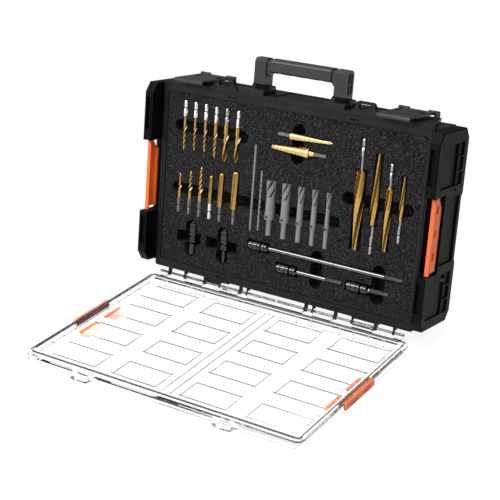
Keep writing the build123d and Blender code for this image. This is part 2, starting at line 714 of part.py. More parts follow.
def segment(form, length, r0, r1):
    """One segment, standing on z = 0."""
    if form == "hex":
        return hex_shank(length)
    if form == "reamer":
        return fluted(length, r0, r1, 3, 150, 6)
    if form == "cutter":
        return fluted(length, r0, r1, 4, 60, 3)
    if form == "drill":
        return fluted(length, r0, r1, 2, 20 * length, max(2, int(length / 6)))
    if abs(r0 - r1) < 0.01:
        return Pos(0, 0, length / 2) * Cylinder(r0, length)
    return Pos(0, 0, length / 2) * Cone(r0, r1, length)


def build_tool(segments):
    """All segments of a tool, one above the other, as one solid."""
    tool, z = None, 0.0
    for form, length, r0, r1 in segments:
        piece = Pos(0, 0, z) * segment(form, length, r0, r1)
        tool = piece if tool is None else tool + piece
        z += length
    return tool


WAYS = {"up": Rot(), "down": Rot(X=180), "right": Rot(Y=90), "left": Rot(Y=-90)}


def place_tool(shape, spec):
    """A tool from its own frame to its pocket in the case."""
    return Pos(spec["x"], FOAM_Y + spec["sink"], spec["z"]) * WAYS[spec["way"]] * shape


def tool(x, z, way, segments, sink=AXIS_IN):
    """One tool's place, direction and segments."""
    return {"x": x, "z": z, "way": way, "segments": segments, "sink": sink}


def tap_bit(x, top, tip, neck_r, flare_r, tap_r, drill_r):
    """Drill, tap and countersink in one bit, drive end up."""
    shank, neck, flare, point = 27.0, 15.0, 5.5, 4.0
    drill_len = 11.0
    tap_len = top - tip - shank - neck - flare - drill_len - point
    return tool(x, top, "down", [
        ("hex", shank, 0, 0), ("round", neck, neck_r, neck_r),
        ("round", flare, flare_r, tap_r), ("round", tap_len, tap_r, tap_r),
        ("drill", drill_len, drill_r, drill_r), ("round", point, drill_r, 0.4)])


def countersink_bit(x, base, tip, neck_r, flare_r, drill_r):
    """A twist drill with a countersink, drive end down."""
    shank, neck, flare, point = 27.0, 16.0, 7.0, 3.0
    drill_len = tip - base - shank - neck - flare - point
    return tool(x, base, "up", [
        ("hex", shank, 0, 0), ("round", neck, neck_r, neck_r),
        ("round", flare, flare_r, drill_r), ("drill", drill_len, drill_r, drill_r),
        ("round", point, drill_r, 0.3)])


def taper_bit(x, base, tip, low_r, top_r):
    """A straight tapered reaming bit, drive end down."""
    shank, point = 27.0, 4.0
    body = tip - base - shank - point
    return tool(x, base, "up", [
        ("hex", shank, 0, 0), ("reamer", body, low_r, top_r), ("round", point, top_r * 0.7, 1.0)])


def end_cutter(x, head_r, body_r, shank_r):
    """A grey spiral cutter: shank, collar, body, fluted head and pilot."""
    return tool(x, 100.5, "up", [
        ("round", 27.5, shank_r, shank_r), ("round", 11.0, body_r + 0.5, body_r + 0.5),
        ("round", 28.0, body_r, body_r), ("cutter", 27.0, body_r, head_r),
        ("round", 10.0, 1.7, 1.7), ("round", 2.5, 1.7, 0.3)])


def reamer(x, z, way, shank, neck, body, wide_r, tip_r):
    """A long tapered reamer: hex end, thin neck and fluted cone."""
    return tool(x, z, way, [
        ("hex", shank, 0, 0), ("round", neck, 2.4, 2.4),
        ("round", 3.0, 3.0, wide_r), ("reamer", body - 3.0, wide_r, tip_r)])


def stepped(length, r0, r1, steps):
    """Segments of a step bit, from r0 down to r1."""
    rise = (r1 - r0) / (steps - 1)
    return [("round", length / steps, r0 + i * rise, r0 + i * rise) for i in range(steps)]


def chuck(base_r, rod_segments):
    """Rod segments, then the rear body and the sleeve's seat of a quick chuck."""
    return rod_segments + [("round", 3.0, 4.4, base_r - 0.6), ("round", 3.5, base_r, base_r),
                           ("round", 1.4, base_r - 1.0, base_r - 1.0),
                           ("round", 4.0, base_r, base_r),
                           ("round", CHUCK_TAIL, SLEEVE_SEAT_R, SLEEVE_SEAT_R)]


TOOLS = {
    "tap_bit_1": tap_bit(-210.0, 300.5, 214.5, 2.5, 5.5, 2.9, 2.4),
    "tap_bit_2": tap_bit(-188.8, 300.5, 216.5, 2.3, 4.6, 2.6, 2.1),
    "tap_bit_3": tap_bit(-167.4, 300.5, 217.0, 2.7, 5.0, 2.9, 2.5),
    "tap_bit_4": tap_bit(-146.0, 298.5, 211.0, 3.3, 5.4, 3.4, 2.8),
    "tap_bit_5": tap_bit(-124.6, 299.0, 207.0, 4.4, 7.6, 4.4, 3.6),
    "tap_bit_6": tap_bit(-101.6, 298.5, 209.5, 3.8, 8.0, 4.0, 3.4),
    "countersink_bit_1": countersink_bit(-213.5, 104.0, 173.5, 2.6, 5.2, 2.0),
    "countersink_bit_2": countersink_bit(-191.5, 104.0, 180.5, 2.9, 6.0, 2.3),
    "countersink_bit_3": countersink_bit(-170.0, 104.0, 191.5, 3.2, 6.8, 2.7),
    "taper_bit_1": taper_bit(-148.2, 104.0, 180.0, 4.2, 3.2),
    "taper_bit_2": taper_bit(-127.0, 103.0, 188.0, 5.6, 4.6),
    "taper_bit_3": taper_bit(-98.6, 104.0, 196.0, 6.6, 6.0),
    "pilot_rod": tool(-63.6, 101.5, "up", [("round", 146.5, 2.1, 2.1)]),
    "pilot_drill": tool(-48.3, 104.0, "up", [("round", 24.0, 1.9, 1.9),
                                             ("drill", 77.0, 1.9, 1.9), ("round", 3.0, 1.9, 0.2)]),
    "end_cutter_1": end_cutter(-26.8, 9.6, 8.5, 5.0),
    "end_cutter_2": end_cutter(2.4, 8.4, 7.6, 4.8),
    "end_cutter_3": end_cutter(31.0, 6.6, 5.7, 4.6),
    "end_cutter_4": end_cutter(57.2, 6.2, 4.9, 4.1),
    "end_cutter_5": end_cutter(82.6, 4.6, 3.8, 3.9),
    "step_bit_small": tool(-22.0, 274.0, "right", [
        ("hex", 25.0, 0, 0), ("round", 5.5, 6.4, 6.4)] + stepped(66.0, 5.9, 3.0, 9) + [
        ("round", 5.5, 2.8, 0.8)]),
    "step_bit_large": tool(70.8, 251.0, "left", [
        ("hex", 22.5, 0, 0), ("round", 8.0, 3.8, 5.2), ("round", 6.0, 9.2, 9.2)] +
        stepped(60.0, 8.7, 3.6, 10) + [("round", 5.5, 3.2, 1.0)]),
    "reamer_1": reamer(137.0, 292.0, "down", 27.0, 22.0, 132.5, 9.6, 4.2),
    "reamer_2": reamer(166.0, 109.5, "up", 29.0, 16.5, 117.0, 6.8, 2.4),
    "reamer_3": reamer(189.8, 260.5, "down", 25.0, 11.5, 105.0, 6.6, 3.8),
    "reamer_4": reamer(213.2, 137.5, "up", 28.0, 8.0, 71.0, 4.5, 1.6),
    "extension_long": tool(228.0, 77.6, "left", chuck(CHUCK_R, [
        ("hex", 32.0, 0, 0), ("round", 218.1, 4.1, 4.1)])),
    "extension_mid": tool(120.0, 49.6, "left", chuck(CHUCK_R, [
        ("hex", 30.0, 0, 0), ("round", 54.1, 4.2, 4.2)])),
    "extension_short": tool(206.5, 49.6, "left", chuck(CHUCK_R, [
        ("hex", 33.1, 0, 0), ("round", 3.0, 4.4, 4.4)])),
    "chuck_adaptor_left": tool(-183.6, 33.0, "up", chuck(CHUCK_R, [
        ("round", 18.6, 7.0, 7.0)]), sink=ADAPTOR_SINK),
    "chuck_adaptor_right": tool(-117.2, 30.5, "up", chuck(CHUCK_R, [
        ("round", 20.6, 4.6, 4.6)]), sink=ADAPTOR_SINK),
}

CHUCKS = ("extension_long", "extension_mid", "extension_short",
          "chuck_adaptor_left", "chuck_adaptor_right")

SLEEVES = {"extension_long": "sleeve_long", "extension_mid": "sleeve_mid",
           "extension_short": "sleeve_short", "chuck_adaptor_left": "sleeve_left",
           "chuck_adaptor_right": "sleeve_right"}

# Finger slots in the foam: x0, x1, z0, z1
FINGER_SLOTS = {
    "slot_taps": (-230.0, -80.0, 246.0, 267.0),
    "slot_cutters": (-228.5, 106.5, 138.0, 157.5),
    "slot_steps": (4.5, 28.5, 228.5, 296.0),
    "slot_reamers": (106.0, 234.5, 181.0, 203.0),
    "slot_extension_left": (59.0, 81.5, 28.5, 94.5),
    "slot_extension_right": (173.5, 197.5, 28.5, 94.5),
}

# Square-ended cross slots of the two adaptors
CROSS_SLOTS = {
    "slot_chuck_left": (-213.0, -162.0, 52.5, 73.0),
    "slot_chuck_right": (-151.0, -86.0, 52.5, 73.0),
}

# Deep round-ended pockets of the two adaptors
ADAPTOR_POCKETS = ((-195.2, -172.0, 29.0, 95.0), (-128.8, -105.6, 29.0, 95.0))


def length_of(spec):
    """A tool's whole length."""
    return sum(s[1] for s in spec["segments"])


def make_tool(name):
    """One tool in its pocket; a chuck has its hex socket cut."""
    spec = TOOLS[name]
    body = build_tool(spec["segments"])
    if name in CHUCKS:
        end = length_of(spec)
        socket = RegularPolygon(HEX_R + 0.15, 6)
        body -= Pos(0, 0, end - SOCKET_DEEP) * extrude(socket, amount=SOCKET_DEEP + 1)
    if name.startswith("end_cutter"):
        body -= Pos(0, -6, 33) * Rot(X=90) * Cylinder(1.9, 9)
    return place_tool(body, spec)


def make_sleeve(name):
    """The sleeve of a chuck, at rest against its spring."""
    spec = TOOLS[name]
    end = length_of(spec)
    z0 = end - CHUCK_TAIL + SLEEVE_TRAVEL + 0.5
    ring = Pos(0, 0, z0 + SLEEVE_LEN / 2) * Cylinder(SLEEVE_R, SLEEVE_LEN)
    ring = chamfer(ring.edges().filter_by(GeomType.CIRCLE), 1.2)
    ring -= Pos(0, 0, z0 + SLEEVE_LEN / 2) * Cylinder(SLEEVE_SEAT_R + GAP, SLEEVE_LEN + 1)
    return place_tool(ring, spec)


# Foam

def pocket_boxes(spec, name):
    """Straight-walled pockets that follow a tool's segments."""
    boxes, at = [], 0.0
    x, z, way = spec["x"], spec["z"], spec["way"]
    for form, length, r0, r1 in spec["segments"]:
        radius = max(r0, r1, HEX_R if form == "hex" else 0)
        if name in CHUCKS and radius < SLEEVE_R and at > length_of(spec) - 45:
            radius = SLEEVE_R
        half = radius + POCKET_CLEAR
        deep = FOAM_Y + spec["sink"] + radius + SOFT_GAP
        mouth = name in CHUCKS and way == "left" and at + length > length_of(spec) - 1
        room = MOUTH_ROOM if mouth else POCKET_CLEAR
        a, b = at - POCKET_CLEAR, at + length + room
        if way in ("up", "down"):
            z0, z1 = (z + a, z + b) if way == "up" else (z - b, z - a)
            boxes.append(block(x - half, x + half, FOAM_Y - 1, deep, z0, z1))
        else:
            x0, x1 = (x + a, x + b) if way == "right" else (x - b, x - a)
            boxes.append(block(x0, x1, FOAM_Y - 1, deep, z - half, z + half))
        at += length
    return boxes


def foam_sketch():
    """The foam's outline, with its clearance to the shell."""
    inset = SOFT_GAP
    return frame_sketch(CASE_W - 2 * RIM_SIDE - 2 * inset, RIM_LOW + inset, RISE - inset,
                        MOUTH_R - inset)


def foam_strips():
    """The seams of the cut layer: it is built up from strips that end at the slots' edges."""
    wide, low, high = CASE_W / 2, 0.0, CASE_H
    left, right = [(a + b) / 2 for a, b, _, _ in ADAPTOR_POCKETS]
    cross0 = CROSS_SLOTS["slot_chuck_right"][1]
    row1, row2 = TOOLS["extension_mid"]["z"], TOOLS["extension_long"]["z"]
    bend0, bend1 = 39.75, 83.25
    cut0, cut1 = FINGER_SLOTS["slot_cutters"][2:]
    ream0, ream1 = FINGER_SLOTS["slot_reamers"][2:]
    tap0, tap1 = FINGER_SLOTS["slot_taps"][2:]
    step_x, step0, step1 = 16.5, 240.5, 284.0
    strips = [(-wide, wide, low, bend0),
              (-wide, left, bend0, bend1), (left, right, bend0, bend1),
              (right, cross0, bend0, bend1)]
    long, mid, short = [TOOLS[name]["x"] - length_of(TOOLS[name]) - MOUTH_ROOM for name in
                        ("extension_long", "extension_mid", "extension_short")]
    for ends, z0, z1 in (((mid, short), bend0, row1), ((long, mid, short), row1, row2),
                         ((long,), row2, bend1)):
        edges = (cross0, *ends, wide)
        strips += [(a, b, z0, z1) for a, b in zip(edges, edges[1:])]
    strips += [(a, b, bend1, cut0) for a, b in ((-wide, left), (left, right), (right, wide))]
    strips += [(-wide, wide, a, b) for a, b in ((cut0, cut1), (cut1, ream0), (ream0, ream1),
                                                (ream1, step0))]
    strips += [(-wide, step_x, a, b) for a, b in ((step0, tap0), (tap0, tap1), (tap1, step1))]
    strips += [(step_x, wide, step0, step1), (-wide, wide, step1, high)]
    return strips


def make_foam_insert():
    """The cut foam layer, with a pocket for each tool and the finger slots right through."""
    foam = along_y(foam_sketch(), FOAM_Y, FOAM_Y + SLOT_DEEP)
    cuts = []
    for name, spec in TOOLS.items():
        cuts += pocket_boxes(spec, name)
    for x0, x1, z0, z1 in FINGER_SLOTS.values():
        cuts.append(pill(x0, x1, z0, z1, FOAM_Y - 1, FOAM_Y + SLOT_DEEP + 1))
    for x0, x1, z0, z1 in CROSS_SLOTS.values():
        cuts.append(block(x0, x1, FOAM_Y - 1, FOAM_Y + SLOT_DEEP + 1, z0, z1))
    deep = ADAPTOR_SINK + SLEEVE_R + SOFT_GAP
    for x0, x1, z0, z1 in ADAPTOR_POCKETS:
        cuts.append(pill(x0, x1, z0, z1, FOAM_Y - 1, FOAM_Y + deep))
    foam = foam - cuts
    solids = []
    for x0, x1, z0, z1 in foam_strips():
        solids += (foam & block(x0, x1, 0, CASE_D, z0, z1)).solids()
    return Compound(children=solids)


def make_foam_base():
    """The plain foam block under the cut layer."""
    y0 = FOAM_Y + SLOT_DEEP
    return along_y(foam_sketch(), y0, CASE_D - BACK_WALL)


def case_nodes():
    """Nodes drawn in the case frame."""
    rail, flap = make_rail(), make_side_latch()
    nodes = {
        "case_shell": make_case_shell(),
        "foam_insert": make_foam_insert(),
        "foam_base": make_foam_base(),
        "side_rail_right": rail,
        "side_rail_left": mirror(rail, about=Plane.YZ),
        "rail_screws": Compound(children=make_rail_screws()),
        "side_latch_right": flap,
        "side_latch_left": mirror(flap, about=Plane.YZ),
        "side_latch_pins": Compound(children=make_side_latch_pins()),
        "latch_left": make_latch(-LATCH_X),
        "latch_right": make_latch(LATCH_X),
        "latch_pins": Compound(children=make_latch_pins()),
        "handle_frame": make_handle_frame(),
        "handle_grip": make_handle_grip(),
        "handle_pins": Compound(children=make_handle_pins()),
        "hinge_rods": Compound(children=make_hinge_rods()),
    }
    for name in TOOLS:
        nodes[name] = make_tool(name)
    for name, sleeve in SLEEVES.items():
        nodes[sleeve] = make_sleeve(name)
    return {name: in_case(shape) for name, shape in nodes.items()}


def lid_nodes():
    """Nodes drawn in the lid frame."""
    catch = make_lid_catch()
    return {
        "lid_shell": make_lid_shell(),
        "lid_seal": make_lid_seal(),
        "lid_catch_right": catch,
        "lid_catch_left": mirror(catch, about=Plane.YZ),
    }


def main():
    os.makedirs("parts", exist_ok=True)
    nodes = {**case_nodes(), **lid_nodes()}
    for name, shape in nodes.items():
        export_step(shape, f"parts/{name}.step")


if __name__ == "__main__":
    main()
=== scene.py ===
"""Looks of the opened bit case: materials, detailed tools, lid details, light and camera."""
import bpy
import bmesh
import math
from mathutils import Matrix, Vector


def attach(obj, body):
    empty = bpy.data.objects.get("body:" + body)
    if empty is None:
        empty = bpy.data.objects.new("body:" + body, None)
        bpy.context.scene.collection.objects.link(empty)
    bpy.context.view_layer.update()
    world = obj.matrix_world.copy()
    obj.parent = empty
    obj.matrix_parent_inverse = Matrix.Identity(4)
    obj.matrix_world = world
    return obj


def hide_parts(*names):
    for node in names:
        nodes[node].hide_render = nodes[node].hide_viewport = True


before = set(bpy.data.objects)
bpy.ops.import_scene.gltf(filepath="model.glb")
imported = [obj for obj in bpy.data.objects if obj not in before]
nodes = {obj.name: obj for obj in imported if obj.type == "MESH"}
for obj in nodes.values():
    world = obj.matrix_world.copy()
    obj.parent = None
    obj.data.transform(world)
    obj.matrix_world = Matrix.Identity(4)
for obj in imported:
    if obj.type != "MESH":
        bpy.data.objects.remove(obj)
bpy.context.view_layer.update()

# Places and sizes of the case, the chucks and the seal in millimetres, as in the CAD source
LEAN = math.radians(10.62)
HINGE_Y, HINGE_Z, HINGE_UP, LID_MID = 2.0, -9.5, 19.5, 175.5
FOAM_Y = 2.0
HEX_AF = 6.35
SLEEVE_LEN, SLEEVE_TRAVEL, SLEEVE_R, SEAT_R, CHUCK_TAIL = 21.5, 3.0, 8.6, 5.4, 28.0
SEAL_TOP = 15.25
SEAL_X, SEAL_L0, SEAL_L1, SEAL_R = 251.5, 13.0, 334.8, 6.8

# Camera at the photograph's viewing angle
AZIMUTH, ELEVATION, ROLL = math.radians(34.33), math.radians(24.66), math.radians(-1.87)
CAMERA_AT = (1.0770, -1.4750, 1.0205)
FOCAL_PX, FRAME_PX, SENSOR = 1311.0, 500.0, 36.0
NEAREST, FARTHEST = 0.05, 50


def make_camera():
    """The camera of the photograph, with its slight roll."""
    a, e, r = AZIMUTH, ELEVATION, ROLL
    right = Vector((math.cos(a), math.sin(a), 0))
    back = Vector((math.sin(a) * math.cos(e), -math.cos(a) * math.cos(e), math.sin(e)))
    up = back.cross(right)
    rolled_right = math.cos(r) * right + math.sin(r) * up
    rolled_up = -math.sin(r) * right + math.cos(r) * up
    data = bpy.data.cameras.new("camera")
    data.sensor_width = SENSOR
    data.lens = FOCAL_PX / FRAME_PX * SENSOR
    data.clip_start, data.clip_end = NEAREST, FARTHEST
    camera = bpy.data.objects.new("camera", data)
    rotation = Matrix((rolled_right, rolled_up, back)).transposed()
    camera.matrix_world = Matrix.Translation(CAMERA_AT) @ rotation.to_4x4()
    bpy.context.scene.collection.objects.link(camera)
    bpy.context.scene.camera = camera


# Frames: from millimetres in the case's or the lid's own frame to metres in the part's frame

MM = Matrix.Scale(0.001, 4)
CASE = (MM @ Matrix.Translation((0, LID_MID, HINGE_UP)) @ Matrix.Rotation(-LEAN, 4, "X")
        @ Matrix.Translation((0, -HINGE_Y, -HINGE_Z)))
LID = MM @ Matrix(((1, 0, 0, 0), (0, -1, 0, LID_MID), (0, 0, 1, 0), (0, 0, 0, 1)))


# Materials

PLASTIC_TONES = (0.82, 1.18)
METAL_LIGHT = 1.12


def nodes_of(name):
    """A new material with its node tree and its main shader."""
    mat = bpy.data.materials.new(name)
    mat.use_nodes = True
    tree = mat.node_tree
    return mat, tree, tree.nodes["Principled BSDF"]


def noise(tree, scale, detail, stretch=None):
    """A noise texture in object space, stretched if asked."""
    source = tree.nodes.new("ShaderNodeTexCoord").outputs["Object"]
    node = tree.nodes.new("ShaderNodeTexNoise")
    node.inputs["Scale"].default_value = scale
    node.inputs["Detail"].default_value = detail
    if stretch:
        mapping = tree.nodes.new("ShaderNodeMapping")
        mapping.inputs["Scale"].default_value = stretch
        tree.links.new(source, mapping.inputs["Vector"])
        source = mapping.outputs["Vector"]
    tree.links.new(source, node.inputs["Vector"])
    return node.outputs["Fac"]


def ramp(tree, source, stops):
    """A colour ramp driven by source; stops are (place, colour)."""
    node = tree.nodes.new("ShaderNodeValToRGB")
    elements = node.color_ramp.elements
    while len(elements) < len(stops):
        elements.new(0.5)
    for element, (place, colour) in zip(elements, stops):
        element.position = place
        element.color = (*colour, 1)
    tree.links.new(source, node.inputs["Fac"])
    return node.outputs["Color"]


def bump(tree, bsdf, source, strength, distance):
    """A bump map from source on the shader's normal."""
    node = tree.nodes.new("ShaderNodeBump")
    node.inputs["Strength"].default_value = strength
    node.inputs["Distance"].default_value = distance
    tree.links.new(source, node.inputs["Height"])
    tree.links.new(node.outputs["Normal"], bsdf.inputs["Normal"])


def spread(tree, bsdf, source, low, high):
    """Roughness between low and high, driven by source."""
    node = tree.nodes.new("ShaderNodeMapRange")
    node.inputs["To Min"].default_value = low
    node.inputs["To Max"].default_value = high
    tree.links.new(source, node.inputs["Value"])
    tree.links.new(node.outputs["Result"], bsdf.inputs["Roughness"])


def shade(colour, factor):
    """The colour made lighter or darker."""
    return tuple(min(1.0, c * factor) for c in colour)


def plastic(name, colour, rough, grain, depth, strength, shine=0.5):
    """Moulded plastic: fine grain, soft cloudy colour and uneven gloss."""
    mat, tree, bsdf = nodes_of(name)
    dark, light = PLASTIC_TONES
    tone = ramp(tree, noise(tree, 30.0, 3.0),
                [(0.35, shade(colour, dark)), (0.65, shade(colour, light))])
    tree.links.new(tone, bsdf.inputs["Base Color"])
    spread(tree, bsdf, noise(tree, 60.0, 4.0), rough - 0.07, rough + 0.08)
    bump(tree, bsdf, noise(tree, grain, 2.0), strength, depth)
    bsdf.inputs["Specular IOR Level"].default_value = shine
    return mat


def foam_material():
    """Closed charcoal foam with fine pale speckles."""
    mat, tree, bsdf = nodes_of("foam_charcoal")
    fine = noise(tree, 600.0, 4.0)
    tone = ramp(tree, fine, [(0.38, (0.0025, 0.0025, 0.0028)), (0.50, (0.0105, 0.0098, 0.0111)),
                             (0.60, (0.030, 0.0284, 0.0314)), (0.70, (0.088, 0.084, 0.092))])
    tree.links.new(tone, bsdf.inputs["Base Color"])
    bsdf.inputs["Roughness"].default_value = 0.95
    bsdf.inputs["Specular IOR Level"].default_value = 0.08
    bump(tree, bsdf, fine, 0.35, 0.0004)
    return mat


def metal(name, colour, rough, streak, dark, metallic=1.0):
    """Machined metal: fine streaks of tone and gloss."""
    mat, tree, bsdf = nodes_of(name)
    lines = noise(tree, 420.0, 3.0, streak)
    tone = ramp(tree, lines, [(0.3, shade(colour, dark)), (0.7, shade(colour, METAL_LIGHT))])
    tree.links.new(tone, bsdf.inputs["Base Color"])
    bsdf.inputs["Metallic"].default_value = metallic
    spread(tree, bsdf, noise(tree, 160.0, 3.0), max(0.05, rough - 0.08), rough + 0.1)
    bump(tree, bsdf, lines, 0.06, 0.00004)
    return mat


def clear_material(name, colour, index, rough):
    """Clear moulded polycarbonate, with a faint haze."""
    mat, tree, bsdf = nodes_of(name)
    bsdf.inputs["Base Color"].default_value = (*colour, 1)
    bsdf.inputs["Transmission Weight"].default_value = 1.0
    bsdf.inputs["IOR"].default_value = index
    spread(tree, bsdf, noise(tree, 25.0, 3.0), rough, rough + 0.05)
    bump(tree, bsdf, noise(tree, 70.0, 2.0), 0.04, 0.0004)
    return mat


# Name, colour, roughness, grain's scale, depth in metres and strength, and gloss where not 0.5
PLASTICS = {
    "black": ("black_plastic", (0.0095, 0.0092, 0.0104), 0.42, 1100.0, 0.0002, 0.25, 0.18),
    # The side rails take a darker copy of the black plastic, painted as the shade on their sides.
    "rail": ("rail_black_painted_shade", (0.0030, 0.0030, 0.0034), 0.48, 1100.0, 0.0002, 0.25, 0.07),
    "grey": ("grey_plastic", (0.019, 0.019, 0.0205), 0.32, 1300.0, 0.00015, 0.2, 0.45),
    "rubber": ("black_rubber", (0.010, 0.010, 0.010), 0.45, 500.0, 0.0001, 0.1, 0.3),
    "orange": ("orange_plastic", (0.88, 0.135, 0.018), 0.42, 900.0, 0.00012, 0.12),
    "pale_orange": ("pale_orange", (0.90, 0.22, 0.085), 0.4, 900.0, 0.00012, 0.12),
    "pink_clear": ("pink_clear", (0.90, 0.46, 0.36), 0.4, 900.0, 0.00012, 0.12),
}
# Name, colour, roughness, stretch of the streaks, their darkest tone, and metallic where not 1
METALS = {
    "steel": ("steel", (0.13, 0.13, 0.134), 0.13, (1, 1, 0.3), 0.95),
    "mid_steel": ("mid_steel", (0.36, 0.355, 0.36), 0.24, (1, 1, 0.3), 0.95),
    "white_steel": ("white_steel", (0.82, 0.81, 0.83), 0.28, (1, 1, 0.5), 0.95),
    "grey_steel": ("grey_steel", (0.235, 0.228, 0.228), 0.45, (2, 2, 0.5), 0.85, 0.45),
    # Dark steel is the dark hex ends' own colour, and also the painted shade on the end cutters'
    # flute floors.
    "dark_steel": ("dark_steel", (0.07, 0.068, 0.068), 0.40, (2, 2, 0.5), 0.8, 0.6),
    "shank": ("shank", (0.17, 0.155, 0.14), 0.42, (2, 2, 0.5), 0.8, 0.6),
    "gold": ("gold_coat", (0.58, 0.36, 0.085), 0.22, (1, 1, 0.3), 0.95),
    # Dark gold and brown gold are painted shade on the floors of the flutes.
    "gold_dark": ("gold_dark", (0.105, 0.055, 0.014), 0.30, (1, 1, 0.3), 0.9),
    "gold_brown": ("gold_brown", (0.22, 0.125, 0.034), 0.30, (1, 1, 0.3), 0.9),
    "gold_light": ("gold_light", (0.72, 0.50, 0.19), 0.20, (1, 1, 0.3), 0.95),
    # Light gold for the countersink flare, painted as its highlight.
    "gold_edge": ("gold_edge", (0.98, 0.86, 0.60), 0.25, (3, 3, 0.5), 0.85),
    "black_steel": ("black_steel", (0.060, 0.059, 0.062), 0.13, (1, 1, 1), 0.95),
    "matt_black": ("matt_black", (0.012, 0.012, 0.012), 0.5, (2, 2, 1), 0.8, 0.0),
}
M = {key: plastic(*values) for key, values in PLASTICS.items()}
M.update({key: metal(*values) for key, values in METALS.items()})
M["foam"] = foam_material()
M["clear"] = clear_material("clear_plastic", (0.985, 0.987, 0.99), 1.13, 0.01)
M["clear_rib"] = clear_material("clear_ribs", (0.97, 0.975, 0.98), 1.28, 0.02)

PAINT = {
    "black": ["case_shell"],
    "rail": ["side_rail_left", "side_rail_right"],
    "foam": ["foam_insert", "foam_base"],
    "grey": ["latch_left", "latch_right", "handle_frame", "handle_grip"],
    "orange": ["side_latch_left", "side_latch_right"],
    "pale_orange": ["lid_catch_right"],
    "pink_clear": ["lid_catch_left"],
    "clear": ["lid_shell"],
    "steel": ["rail_screws", "side_latch_pins", "latch_pins", "handle_pins", "hinge_rods"],
}
BEVELS = {"case_shell": 0.5, "side_rail_left": 0.7, "side_rail_right": 0.7,
          "latch_left": 0.5, "latch_right": 0.5, "handle_frame": 0.8, "handle_grip": 0.6,
          "side_latch_left": 0.5, "side_latch_right": 0.5, "lid_catch_left": 0.6,
          "lid_catch_right": 0.6, "lid_shell": 0.35}
WELD_WITHIN, BEVEL_STEPS, BEVEL_ANGLE = 0.00002, 2, math.radians(32)


def soften(obj, width):
    """Rounded edges, as moulding leaves them."""
    weld = obj.modifiers.new("weld", "WELD")
    weld.merge_threshold = WELD_WITHIN
    bevel = obj.modifiers.new("bevel", "BEVEL")
    bevel.width = width / 1000
    bevel.segments = BEVEL_STEPS
    bevel.limit_method = "ANGLE"
    bevel.angle_limit = BEVEL_ANGLE
    bevel.use_clamp_overlap = True
    bevel.harden_normals = False
    normals = obj.modifiers.new("normals", "WEIGHTED_NORMAL")
    normals.keep_sharp = False


def paint_cad_nodes():
    """Materials and soft edges on the CAD nodes that stay."""
    for key, names in PAINT.items():
        for name in names:
            obj = nodes[name]
            obj.data.materials.clear()
            obj.data.materials.append(M[key])
    for name, width in BEVELS.items():
        soften(nodes[name], width)
    nodes["lid_shell"].visible_shadow = False


def add(name, mesh, matrix, body, replaces=()):
    """A piece on its body, from a mesh in the case's or the lid's frame."""
    mesh.transform(matrix)
    if matrix.determinant() < 0:
        mesh.flip_normals()
    obj = bpy.data.objects.new(name, mesh)
    bpy.context.scene.collection.objects.link(obj)
    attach(obj, body)
    if replaces:
        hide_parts(*replaces)
    return obj


def plain_mesh(name, verts, faces, mat, outward=False):
    """A mesh in one material, with its normals turned outwards if asked."""
    mesh = bpy.data.meshes.new(name)
    mesh.from_pydata(verts, [], faces)
    mesh.materials.append(M[mat])
    if outward:
        shape = bmesh.new()
        shape.from_mesh(mesh)
        bmesh.ops.recalc_face_normals(shape, faces=shape.faces)
        shape.to_mesh(mesh)
        shape.free()
    mesh.update()
    return mesh


# Turned tools: rings of points along an axis, each ring (z, radii, material index)

AROUND = 48
SHARP = math.radians(38)
# The fourth material index is for painted shade on the floors of flutes.
BRIGHT, BODY, DARK, FLUTE_SHADE = 0, 1, 2, 3
ROUND_MATS = {"bright": BRIGHT, "pilot_end": DARK}
EDGE, COLLAR_EDGE, OFF_END = 0.3, 0.6, 0.001
BAND_EDGE, BAND_DROP = 0.4, 0.5

# Flutes: how many, their depth as a share of the radius, and the share left to the lands
DRILL_CUT, PILOT_CUT, SPEAR_CUT = (2, 0.40, 0.52), (2, 0.45, 0.45), (2, 0.42, 0.50)
TAPER_CUT, REAMER_CUT = (4, 0.12, 0.50), (3, 0.26, 0.50)
CUTTER_CUT, STEP_CUT = (4, 0.34, 0.66), (2, 0.30, 0.74)
# Faces below these shares of a ring's largest radius are flute floors, painted in the shade
# material.
FLUTE_SHADE_SHARE, TAPER_FLUTE_SHADE_SHARE = 0.93, 0.97

# Drive end: place of its ring groove, and radii of the groove, the end and its bevel
GROOVE_AT, GROOVE_R, END_R, END_BEVEL_R, UNCUT = 13.0, 2.85, 2.75, 3.45, 9.0

# Spear: shares of its length and of its radius, its turn in radians and the step of its rings
SPEAR = ((0.0, 1.0), (0.28, 1.0), (0.42, 0.72), (0.58, 0.98), (0.80, 1.12), (1.0, 0.80))
SPEAR_TURN, SPEAR_STEP = 2.2, 0.8

# Reamer: share of its length that swells from the narrow start, and the turns of both lengths
SWELL, SWELL_FROM, SWELL_TURN, REAMER_TURN, REAMER_STEP = 0.32, 0.86, 0.7, 1.5, 1.6

STEP_COUNTS = {"steps9": 9, "steps10": 10}
STEP_TURN, STEP_LAND, STEP_BEVEL, STEP_DROP = 0.9, 1.6, 0.25, 0.15
DOME_ANGLES = (0.0, 0.5, 1.0, 1.35, 1.57)
SOCKET_PLAY, SOCKET_R, SOCKET_BEVEL, SOCKET_DEEP = 0.26, 4.4, 0.8, 20.0


def angles(count=AROUND):
    """Angles of the points of one ring."""
    return [2 * math.pi * k / count for k in range(count)]


def hex_radius(angle, flat):
    """Radius of a hexagon at an angle, with a corner at angle 0."""
    return flat / 2 / math.cos(angle % (math.pi / 3) - math.pi / 6)


def smooth(x):
    """Smooth step from 0 to 1."""
    x = max(0.0, min(1.0, x))
    return x * x * (3 - 2 * x)


